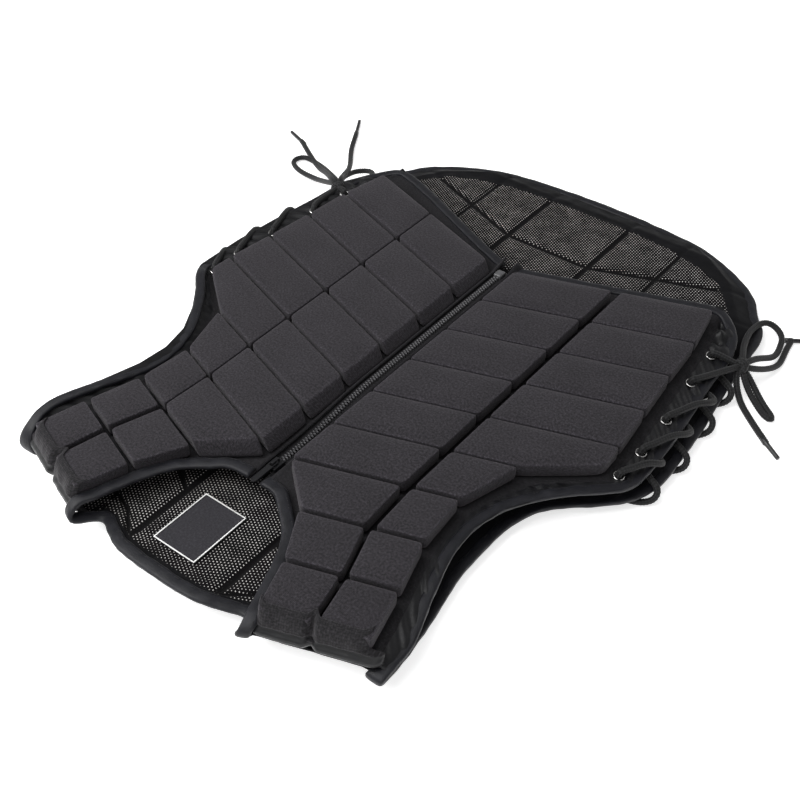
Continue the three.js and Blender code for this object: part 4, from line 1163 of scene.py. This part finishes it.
def back_blocks():
    meshes = []
    tail_end = tail(1) - BACK_MARGIN

    def place_on(line, across):
        aside = across - BACK_MIDDLE
        return np.array((across, min(line[0] + line[1] * aside, tail_end - 0.1 * aside)))

    middles = [line for line in BACK_LINES if line[0] != neck(0.267)]
    for near, far in zip(middles, middles[1:]):
        top, low = far[0], min(near[0], tail_end)
        meshes.append([(-BACK_MIDDLE, top), (BACK_MIDDLE, top), (BACK_MIDDLE, low), (-BACK_MIDDLE, low)])
    for near, far in zip(BACK_LINES, BACK_LINES[1:]):
        for inner, outer in ((BACK_MIDDLE, BACK_SIDE), (BACK_SIDE, HALF_WIDTH)):
            far_out = min(outer, row_reach(far, outer))
            near_out = min(outer, row_reach(near, outer) if near[0] < tail(0.99) else 0.55 * HALF_WIDTH)
            if far_out - inner < 12 or near_out - inner < 6:
                continue
            ends = (far, inner), (far, far_out), (near, near_out), (near, inner)
            corners = [place_on(line, across) for line, across in ends]
            meshes.append(corners)
            meshes.append([(-x, y) for x, y in (corners[1], corners[0], corners[3], corners[2])])
    return meshes


all_points, all_faces, all_uvs, all_rim_highlights = [], [], [], []
for i, corners in enumerate(back_blocks()):
    height = BACK_PAD + 0.5
    points, faces, uvs, _, rim_highlight = block_parts(corners, [1.3] * 4, 0, height, crown=0.0, columns=8, rows=7,
                                             seed=i * 0.9)
    points[:, 2] = height + 0.4 - np.maximum(points[:, 2], 0)
    points[:, 2] = np.maximum(points[:, 2], 0.1)
    all_faces += turned_round([tuple(len(all_points) + k for k in face) for face in faces])
    all_points += points.tolist()
    all_uvs += uvs.tolist()
    all_rim_highlights += rim_highlight
# The back blocks carry the same painted highlight mark.
under = make_piece("back_blocks", all_points, all_faces, all_uvs, {"rim_highlight": all_rim_highlights})
under.data.materials.append(block_cloth)
add_modifier(under, "SUBSURF", levels=1, render_levels=1)
settle(under)
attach(under, "vest")
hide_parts("back_panel")
print("back blocks", len(under.data.polygons), "faces")


# %% [markdown]
# ## Bindings
#
# A satin tape is folded over every raw edge and sewn through. One runs round the neck and over the
# shoulders, and one round the hem, the flaps, the armholes and the back. Each is a strip with a rounded
# cross-section, swept along the same line as in the CAD model, with small puckers where the tape is eased
# round the bends.

# %% Binding sweep
def sections_on(plan, heights):
    middle = moved_left(plan, BINDING_WIDTH / 2)
    side = middle - np.asarray(plan)
    side /= np.linalg.norm(side, axis=1)[:, None]
    centres = np.column_stack([middle, np.asarray(heights) - WALL / 2])
    return centres, np.column_stack([side, np.zeros(len(side))])


def resample(centres, sides, step):
    line = smooth_line(centres, step)
    places, run = run_along(centres), run_along(line)
    run *= places[-1] / run[-1]
    turned = np.stack([np.interp(run, places, sides[:, k]) for k in range(3)], 1)
    return line, turned / np.linalg.norm(turned, axis=1)[:, None]


TAPE_STEP, TAPE_SIDES = 2.5, 16


def binding(name, centres, sides, width, thick, seed, widened=()):
    """A tape along the centres. Widened lists places, how much wider it is there, and over which reach."""
    line, side = resample(centres, sides, TAPE_STEP)
    profile = []
    for k in range(TAPE_SIDES):
        turn = 2 * math.pi * k / TAPE_SIDES
        a, b = math.cos(turn), math.sin(turn)
        profile.append((abs(a) ** 0.6 * math.copysign(1, a), abs(b) ** 0.7 * math.copysign(1, b)))
    ahead = headings(line)
    points, uvs = [], []
    for i, centre in enumerate(line):
        lift = np.cross(ahead[i], side[i])
        lift /= np.linalg.norm(lift)
        run = TAPE_STEP * i
        pucker = 0.4 * math.sin(run / 3.1 + 2.5 * ripple(run, 0, seed, 30)) * (0.5 + ripple(run, 9, seed, 45))
        broad = width
        for place, more, reach in widened:
            broad += more * math.exp(-(np.linalg.norm(centre - place) / reach) ** 2)
        for a, b in profile:
            swell = 1 + 0.10 * ripple(run, 8 * a, 8 * b, 9, seed)
            shift = pucker * (0.5 + 0.5 * a)
            points.append(centre + side[i] * (a * broad / 2) * swell + lift * (b * thick / 2 * swell + shift))
            uvs.append((run, 9 * math.atan2(b, a)))
    faces = grid_faces(len(line), TAPE_SIDES, closed=True)
    faces.append(tuple(reversed(range(TAPE_SIDES))))
    faces.append(tuple(range(len(points) - TAPE_SIDES, len(points))))
    strip = make_piece(name, points, turned_round(faces), uvs)
    strip.data.materials.append(binding_satin)
    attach(strip, "vest")
    return strip, line, side


def flip(points):
    return points[::-1] * (-1, 1, 1)


# %% Neck binding
neck_plan = [on_row(across, along) for along, across, _ in NECK_EDGE]
centres, sides = sections_on(neck_plan, FRONT_TOP + FRONT_PAD * NECK_EDGE[:, 2])
end = centres[-1]
nape_centres, nape_sides = [], []
for share in (0.9, 0.7, 0.5, 0.25, 0):
    across = share * BACK_NECK_HALF
    top = back_top(across, BACK_NECKLINE + BINDING_WIDTH / 2) - WALL / 2
    nape_centres.append((across, BACK_NECKLINE + BINDING_WIDTH / 2 + nape_dip(across), top))
    nape_sides.append((0, 1, 0))
shoulder_turn = (end[0] - 1, end[1] - BINDING_WIDTH, (end[2] + BACK_TOP) / 2)
half_centres = np.vstack([centres, shoulder_turn, nape_centres])
half_sides = np.vstack([sides, (0.9, 0.43, 0), nape_sides])
neck_centres = np.vstack([half_centres, flip(half_centres[:-1])])
neck_sides = np.vstack([half_sides, flip(half_sides[:-1])])
neck_tape, neck_line, neck_side = binding("neck_tape", neck_centres, neck_sides, 11.5, 4.8, 1.0)
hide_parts("neck_binding")
print("neck tape", round(length_of(neck_line)), "mm")

# %% Outer binding
BACK_TAPE_RISE = 1.9
outer_plan = [on_row(across, along) for along, across, _ in FRONT_EDGE]
outer_plan += [on_row(across, FRONT_LENGTH) for across in HEM_STOPS]
lifts = list(FRONT_EDGE[:, 2]) + [HEM_LIFT] * len(HEM_STOPS)
front_centres, front_sides = sections_on(outer_plan, FRONT_TOP + FRONT_PAD * np.array(lifts))
back_plan = [(across, along) for along, across in BACK_EDGE[1:]] + [(0, tail(1))]
back_heights = []
for across, along in back_plan:
    reach = along + BINDING_WIDTH if along >= tail(0.97) else along
    back_heights.append(min(back_top(across, reach), BACK_TOP - EDGE_DROP))
back_centres, back_sides = sections_on(back_plan, back_heights)
back_centres[:, 2] += BACK_TAPE_RISE
high, low = front_centres[0], back_centres[0]
turn_centre = ((high[0] + low[0]) / 2, min(high[1], low[1]) - BINDING_WIDTH, (high[2] + low[2]) / 2)
half_centres = np.vstack([front_centres[::-1], turn_centre, back_centres])
half_sides = np.vstack([front_sides[::-1], (-1, 0, 0), back_sides])
outer_centres = np.vstack([half_centres, flip(half_centres[:-1])])
for centre in outer_centres:
    along = centre[1] - ROW_SLOPE * abs(centre[0])
    part = np.clip((centre[2] - BACK_TOP) / 12, 0, 1)
    if centre[0] < 0:
        centre[1] += part * hem_sag(-centre[0], along + 4)
        centre[2] += part * flap_rise(along) * np.clip((-centre[0] - 150) / 30, 0, 1)
    elif along < 0:
        centre[2] -= part * shoulder_drop(along)
outer_sides = np.vstack([half_sides, flip(half_sides[:-1])])
turn_places = [np.array(turn_centre), np.array(turn_centre) * (-1, 1, 1)]
outer_tape, outer_line, outer_side = binding("outer_tape", outer_centres, outer_sides, 9.6, 5.0, 5.0,
                                             [(place, 6, 16) for place in turn_places])
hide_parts("outer_binding")
print("outer tape", round(length_of(outer_line)), "mm")


# %% [markdown]
# ## Things that repeat
#
# Eyelets, zip teeth and stitches are each one small shape set many times along a line. A Geometry Nodes
# tree does that: it takes a mesh of bare points, reads which way each one faces from an attribute, puts the
# small shape there and makes the copies real, because an exported model can't hold instances.

# %% One tree for repeated shapes
def repeat_tree(name, shape, material):
    tree = bpy.data.node_groups.new(name, "GeometryNodeTree")
    face = tree.interface
    face.new_socket("Geometry", in_out="INPUT", socket_type="NodeSocketGeometry")
    size = face.new_socket("Size", in_out="INPUT", socket_type="NodeSocketFloat")
    size.default_value = 1.0
    face.new_socket("Geometry", in_out="OUTPUT", socket_type="NodeSocketGeometry")
    way_in = tree.nodes.new("NodeGroupInput")
    way_out = tree.nodes.new("NodeGroupOutput")
    info = add_node(tree, "GeometryNodeObjectInfo", {"Object": shape})
    turn = add_node(tree, "GeometryNodeInputNamedAttribute", {"Name": "turn"}, data_type="FLOAT_VECTOR")
    scale = add_node(tree, "ShaderNodeCombineXYZ", {
        "X": way_in.outputs["Size"], "Y": way_in.outputs["Size"], "Z": way_in.outputs["Size"]})
    placed = add_node(tree, "GeometryNodeInstanceOnPoints", {
        "Points": way_in.outputs["Geometry"], "Instance": info.outputs["Geometry"],
        "Rotation": turn.outputs["Attribute"], "Scale": scale.outputs[0]})
    real = add_node(tree, "GeometryNodeRealizeInstances", {"Geometry": placed.outputs[0]})
    painted = add_node(tree, "GeometryNodeSetMaterial", {"Geometry": real.outputs[0], "Material": material})
    tree.links.new(painted.outputs[0], way_out.inputs[0])
    return tree, size.identifier


def repeated(name, shape, material, places, turns, size=1.0):
    mesh = bpy.data.meshes.new(name)
    mesh.from_pydata(to_frame(places).tolist(), [], [])
    mark = mesh.attributes.new("turn", "FLOAT_VECTOR", "POINT")
    mark.data.foreach_set("vector", np.asarray(turns, float).ravel())
    piece = bpy.data.objects.new(name, mesh)
    bpy.context.scene.collection.objects.link(piece)
    tree, key = repeat_tree(name + "_tree", shape, material)
    nodes = piece.modifiers.new("repeat", "NODES")
    nodes.node_group = tree
    nodes[key] = size
    settle(piece)
    piece.data.polygons.foreach_set("use_smooth", [True] * len(piece.data.polygons))
    print(name, len(places), "copies,", len(piece.data.polygons), "faces")
    return piece


def small_shape(name, points, faces):
    mesh = bpy.data.meshes.new(name)
    mesh.from_pydata((np.asarray(points, float) / 1000).tolist(), [], faces)
    shape = bpy.data.objects.new(name, mesh)
    bpy.context.scene.collection.objects.link(shape)
    return shape


# %% Eyelets
def ring_shape(profile, sides):
    points, count = [], len(profile)
    for i in range(sides):
        turn = 2 * math.pi * i / sides
        points += [(r * math.cos(turn), r * math.sin(turn), z) for r, z in profile]
    faces = []
    for i in range(sides):
        for k in range(count):
            a, b = i * count + k, i * count + (k + 1) % count
            c = ((i + 1) % sides) * count
            faces.append((a, c + k, c + (k + 1) % count, b))
    return points, faces


EYELET_PROFILE = [(3.7, -3.3), (4.3, -3.3), (4.35, 0.2), (5.0, 0.25), (5.15, 0.6), (4.9, 1.15), (4.35, 1.4),
                  (3.85, 1.1), (3.7, 0.4)]
seats, turns = [], []
for hand in (1, -1):
    for along in FRONT_EYELETS:
        edge = float(column(FRONT_EDGE, along, 1))
        across = edge - EYELET_EDGE
        place = on_row(across, along)
        top, edge_top = front_top(across, along), front_top(edge, along)
        if hand < 0:
            places = front_section(along)[0]
            top += flap_rise(along) * (across - places[2]) / (edge - places[2])
            edge_top += flap_rise(along)
        seats.append((hand * place[0], place[1], top))
        turns.append((0, -hand * math.atan2(edge_top - top, EYELET_EDGE), 0))
front_seats = {1: seats[:5], -1: [(-x, y, z) for x, y, z in seats[5:10]]}
back_seats = []
for hand in (1, -1):
    for along in BACK_EYELETS:
        edge = float(column(BACK_EDGE, along, 1))
        across = edge - EYELET_EDGE
        top = back_top(across, along)
        seats.append((hand * across, along, top))
        turns.append((0, -hand * math.atan2(back_top(edge, along) - top, EYELET_EDGE), 0))
        if hand > 0:
            back_seats.append((across, along, top))
eyelet = small_shape("eyelet_shape", *ring_shape(EYELET_PROFILE, 28))
rings = repeated("eyelets", eyelet, nickel, seats, turns)
bpy.data.objects.remove(eyelet)
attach(rings, "vest")
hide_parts(*[f"{side}_eyelet_{i}" for side in ("right", "left") for i in range(1, 6)])

# %% [markdown]
# ## Lacing
#
# The two halves of each lace cross between the front flap and the back flap. One half goes over the front
# flap's edge and down into a back eyelet, and the next comes up from under the back flap, round its edge,
# and up through a front eyelet. The route is worked out from the eyelets' places, as in the CAD model, and
# drawn as tubes.


# %% Lacing
def lacing(knot, gap, front_seats):
    above = LACE_RADIUS + 1.6
    under = LACE_RADIUS + 0.8

    def mix(a, b, share):
        return a + (b - a) * share

    def lifted(seat, by):
        return (seat[0], seat[1], seat[2] + by)

    def outward(f, b):
        start, end = front_seats[f], back_seats[b]
        edge = float(column(FRONT_EDGE, FRONT_EYELETS[f], 1))
        return [
            lifted(start, -2), lifted(start, above),
            (start[0] + 5, mix(start[1], end[1], 0.2), start[2] + above),
            (edge - 2, mix(start[1], end[1], 0.5), start[2] + above - 1),
            (edge + 4, mix(start[1], end[1], 0.72), start[2] - 2),
            (edge + 3, mix(start[1], end[1], 0.88), end[2] + 8),
            lifted(end, 4.5), lifted(end, -3.5),
        ]

    def inward(b, f):
        start, end = back_seats[b], front_seats[f]
        edge = float(column(BACK_EDGE, mix(start[1], end[1], 0.5), 1))
        return [
            (start[0] + 3, mix(start[1], end[1], 0.08), under + 0.6),
            (edge - 2, mix(start[1], end[1], 0.28), under),
            (edge + 5, mix(start[1], end[1], 0.45), under + 4),
            (edge + 4.5, mix(start[1], end[1], 0.6), BACK_TOP - 4),
            (edge - 6, mix(start[1], end[1], 0.72), BACK_TOP + 0.2),
            (end[0] + 3, mix(start[1], end[1], 0.95), BACK_TOP + 2),
            lifted(end, -5), lifted(end, above),
        ]

    def home(f, aside):
        start = front_seats[f]
        way = np.array(lifted(start, above + 2)) - np.array(knot)
        last = np.array(knot) + way / np.linalg.norm(way) * (KNOT_RADIUS + gap - 4)
        return [(start[0] + aside[0], start[1] + aside[1], start[2] + above), tuple(last)]

    bar = [lifted(front_seats[0], -2), (front_seats[0][0] + 1, front_seats[0][1] + 1, BACK_TOP + 5),
           (back_seats[0][0] - 2, back_seats[0][1] - 1, BACK_TOP + 1), lifted(back_seats[0], 2)]
    one = [*outward(0, 1), *inward(1, 2), *outward(2, 3)[2:], *inward(3, 4), *home(4, (2, 1))]
    other = [lifted(back_seats[0], 3), lifted(back_seats[0], -3.5), *inward(0, 1), *outward(1, 2)[2:],
             *inward(2, 3), *home(3, (3, 4))]
    return [eased(smooth_line(points, BRAID_STEP), 6) for points in (one, other, bar)]


left_knot = (-LEFT_KNOT[0], LEFT_KNOT[1], LEFT_KNOT[2])
for side, lines in (
    ("right", lacing(RIGHT_KNOT, 0.3, front_seats[1])),
    ("left", [mirrored(line) for line in lacing(left_knot, 0.9, front_seats[-1])]),
):
    lace = make_tubes(side + "_lacing", lines, LACE_RADIUS, lace_braid)
    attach(lace, "vest")
    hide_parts(side + "_lace")
    print(lace.name, "runs", [round(length_of(line)) for line in lines], "mm")

# %% [markdown]
# ## Zip
#
# A moulded zip with 6 mm teeth joins the fronts. Its tapes lie under the cloth's folded edges and the closed
# teeth stand between them as a ribbed bead. Past the slider the chain rises by 7 mm between the blocks. The teeth
# are one small shape repeated along the middle line, left and right in turn. The slider and its pull are the CAD
# solids with softened edges, because the pull has to keep its place on the slider's bridge.

# %% Zip tapes and teeth
CHAIN_FOOT = FRONT_TOP - WALL - 1.6
CHAIN_TOP = CHAIN_FOOT + 4.2
ZIP_START, ZIP_END = neck(0.02), FRONT_LENGTH - 1.5 * BINDING_WIDTH


def tape_half(hand):
    rows = np.linspace(ZIP_START, ZIP_END, 120)
    shape = [(1.2, 0.9), (2.6, 1.5), (5, 1.2), (9, 0.8), (17, 0.6)]
    points, uvs = [], []
    for y in rows:
        for x, z in shape:
            rise = zip_rise(y) * np.clip((13 - x) / 6, 0, 1)
            points.append((hand * x, y, CHAIN_FOOT + z + rise + 0.15 * ripple(x, y, hand, 9)))
            uvs.append((x, y))
    faces = grid_faces(len(rows), len(shape))
    return points, faces if hand > 0 else turned_round(faces), uvs


points, faces, uvs = [], [], []
for hand in (1, -1):
    p, f, u = tape_half(hand)
    faces += [tuple(i + len(points) for i in face) for face in f]
    points += p
    uvs += u
tapes = make_piece("zip_tapes", points, faces, uvs)
tapes.data.materials.append(cover_cloth)
add_modifier(tapes, "SOLIDIFY", thickness=0.0008, offset=-1)
settle(tapes)
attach(tapes, "vest")
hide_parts("zip_chain")

TOOTH_PITCH, FIRST_TOOTH = 1.6, 24
TOOTH = [(-0.3, -0.62, 0), (3.1, -0.62, 0), (3.1, 0.62, 0), (-0.3, 0.62, 0),
         (-0.3, -0.4, 3.3), (2.4, -0.4, 3.5), (2.4, 0.4, 3.5), (-0.3, 0.4, 3.3)]
TOOTH_FACES = [(3, 2, 1, 0), (4, 5, 6, 7), (0, 1, 5, 4), (1, 2, 6, 5), (2, 3, 7, 6), (3, 0, 4, 7)]
tooth = small_shape("tooth_shape", TOOTH, TOOTH_FACES)
tooth_places, tooth_turns = [], []
for i, y in enumerate(np.arange(FIRST_TOOTH, ZIP_END - 10, TOOTH_PITCH)):
    tooth_places.append((0, y, CHAIN_FOOT + 0.7 + zip_rise(y)))
    tooth_turns.append((0, 0, math.pi * (i % 2)))
teeth = repeated("zip_teeth", tooth, teeth_plastic, tooth_places, tooth_turns)
bpy.data.objects.remove(tooth)
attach(teeth, "vest")
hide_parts("zip_chain")

# %% Zip end box, slider and pull
low = np.array((-4.2, ZIP_END - 11, CHAIN_FOOT + ZIP_RISE - 0.4))
high = np.array((4.2, ZIP_END - 1, CHAIN_TOP + ZIP_RISE + 1.6))
corners = [(x, y, z) for z in (low[2], high[2]) for y in (low[1], high[1]) for x in (low[0], high[0])]
box_faces = [(0, 2, 3, 1), (4, 5, 7, 6), (0, 1, 5, 4), (1, 3, 7, 5), (3, 2, 6, 7), (2, 0, 4, 6)]
end_box = make_piece("zip_end_box", corners, box_faces)
end_box.data.materials.append(box_plastic)
add_modifier(end_box, "BEVEL", width=0.0016, segments=3)
settle(end_box)
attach(end_box, "vest")
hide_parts("zip_chain")
for name in ("zip_slider", "zip_pull"):
    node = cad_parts[name]
    node.data.materials.clear()
    node.data.materials.append(enamel)
    add_modifier(node, "WELD", merge_threshold=0.00001)
    add_modifier(node, "BEVEL", width=0.0004, segments=3, limit_method="ANGLE")


# %% [markdown]
# ## Label
#
# A woven label is sewn inside the back of the neck. Only its outline shows, so it stays bare. It is a thin
# sheet that follows the lining, with a fine woven border.

# %% Label
LABEL_WIDTH, LABEL_LENGTH, LABEL_MIDDLE = 45, 59, (out(-0.035), neck(0.425))
points, uvs = [], []
for y in np.linspace(-LABEL_LENGTH / 2, LABEL_LENGTH / 2, 30):
    for x in np.linspace(-LABEL_WIDTH / 2, LABEL_WIDTH / 2, 24):
        height = BACK_TOP + 1.05 + 0.15 * ripple(x, y, 0, 25, 8.0)
        points.append((LABEL_MIDDLE[0] + x, LABEL_MIDDLE[1] + y, height))
        uvs.append((x, y))
label = make_piece("neck_label", points, grid_faces(30, 24), uvs)
label.data.materials.append(label_cloth)
add_modifier(label, "SOLIDIFY", thickness=0.0006, offset=-1)
settle(label)
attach(label, "vest")
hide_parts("label")

half_w, half_l, wide = LABEL_WIDTH / 2 - 0.5, LABEL_LENGTH / 2 - 0.5, 0.55
loop = [(-half_w, -half_l), (half_w, -half_l), (half_w, half_l), (-half_w, half_l)]
frame_points, frame_faces = [], []
for grow in (wide, -wide):
    for x, y in loop:
        place = (x + grow * math.copysign(1, x), y + grow * math.copysign(1, y))
        frame_points.append((LABEL_MIDDLE[0] + place[0], LABEL_MIDDLE[1] + place[1], BACK_TOP + 1.7))
for k in range(4):
    n = (k + 1) % 4
    frame_faces.append((k, n, n + 4, k + 4))
border = make_piece("label_border", frame_points, frame_faces)
border.data.materials.append(outline_thread)
add_modifier(border, "SOLIDIFY", thickness=0.0003, offset=0)
settle(border)
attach(border, "vest")

# %% [markdown]
# ## Stitches
#
# A row of lockstitches holds each binding a few millimetres from its inner edge. They are black on black
# and only just seen, but they make the tape read as sewn. One small rounded bar is repeated along both
# tapes.

# %% Stitches
STITCH = [(-1.3, -0.3, 0), (-1.3, 0.3, 0), (1.3, 0.3, 0), (1.3, -0.3, 0), (-0.9, 0, 0.35), (0.9, 0, 0.35)]
STITCH_FACES = [(0, 1, 2, 3), (0, 3, 5, 4), (1, 4, 5, 2), (0, 4, 1), (3, 2, 5)]
STITCH_PITCH = 3.6
stitch = small_shape("stitch_shape", STITCH, STITCH_FACES)
for name, line, side, aside, lift in (
    ("neck_stitches", neck_line, neck_side, 3.2, 2.15), ("outer_stitches", outer_line, outer_side, 2.6, 2.1),
):
    ahead, run = headings(line), run_along(line)
    places, turns = [], []
    for at in np.arange(3, run[-1] - 3, STITCH_PITCH):
        i = int(np.searchsorted(run, at))
        raised = np.cross(ahead[i], side[i])
        if raised[2] < 0:
            raised = -raised
        places.append(line[i] + side[i] * aside + raised * lift)
        turns.append((0, -math.asin(np.clip(ahead[i][2], -1, 1)), math.atan2(ahead[i][1], ahead[i][0])))
    sewn = repeated(name, stitch, thread_black, places, turns)
    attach(sewn, "vest")
bpy.data.objects.remove(stitch)

# %% [markdown]
# ## Floor and light
#
# The photograph has a white floor that hardly takes a shadow, as on a lit table, and broad soft light from
# above and from the left, so the blocks darken towards the hem. A large pale plane glows a little and takes
# a faint shadow, and four large area lights and a pale world give the light.

# %% Floor, lights and world
floor_mesh = bpy.data.meshes.new("floor")
FLOOR_HALF, FLOOR_DROP = 6, 0.0005
corners = (-1, -1), (1, -1), (1, 1), (-1, 1)
floor_corners = [(x * FLOOR_HALF, y * FLOOR_HALF, -FLOOR_DROP) for x, y in corners]
floor_mesh.from_pydata(floor_corners, [], [(0, 1, 2, 3)])
floor = bpy.data.objects.new("floor", floor_mesh)
bpy.context.scene.collection.objects.link(floor)
floor_paint, floor_tree, floor_shader = new_material("pale_floor")
floor_tone = patches(floor_tree, object_places(floor_tree), 0.4, 2, 0.5)
set_inputs(floor_tree, floor_shader, {
    "Base Color": colours(floor_tree, floor_tone, [(0, (0.86, 0.86, 0.86)), (1, (0.9, 0.9, 0.9))]),
    "Roughness": 0.8, "Specular IOR Level": 0.1,
    "Emission Color": (1, 1, 1, 1), "Emission Strength": 0.62,
})
floor.data.materials.append(floor_paint)


def soft_light(name, place, aim_at, size, watts):
    lamp = bpy.data.objects.new(name, bpy.data.lights.new(name, "AREA"))
    lamp.data.shape = "RECTANGLE"
    lamp.data.size, lamp.data.size_y = size
    lamp.data.energy = watts
    lamp.location = place
    lamp.rotation_mode = "QUATERNION"
    lamp.rotation_quaternion = (Vector(aim_at) - Vector(place)).to_track_quat("-Z", "Y")
    bpy.context.scene.collection.objects.link(lamp)


soft_light("top_light", (-0.55, -0.8, 1.7), (0, 0, 0), (1.8, 1.8), 44)
soft_light("left_light", (-1.5, -0.7, 1.0), (0, -0.1, 0), (1.2, 1.0), 11)
soft_light("back_light", (0.7, 2.2, 1.1), (0, 0, 0.02), (1.8, 0.8), 4)
soft_light("near_light", (1.1, -1.6, 0.9), (0, -0.1, 0.02), (1.4, 0.9), 7)
world = bpy.data.worlds.new("studio")
bpy.context.scene.world = world
world.use_nodes = True
set_inputs(world.node_tree, world.node_tree.nodes["Background"], {"Color": (1, 1, 1, 1), "Strength": 0.3})
bpy.context.scene.view_settings.view_transform = "Standard"
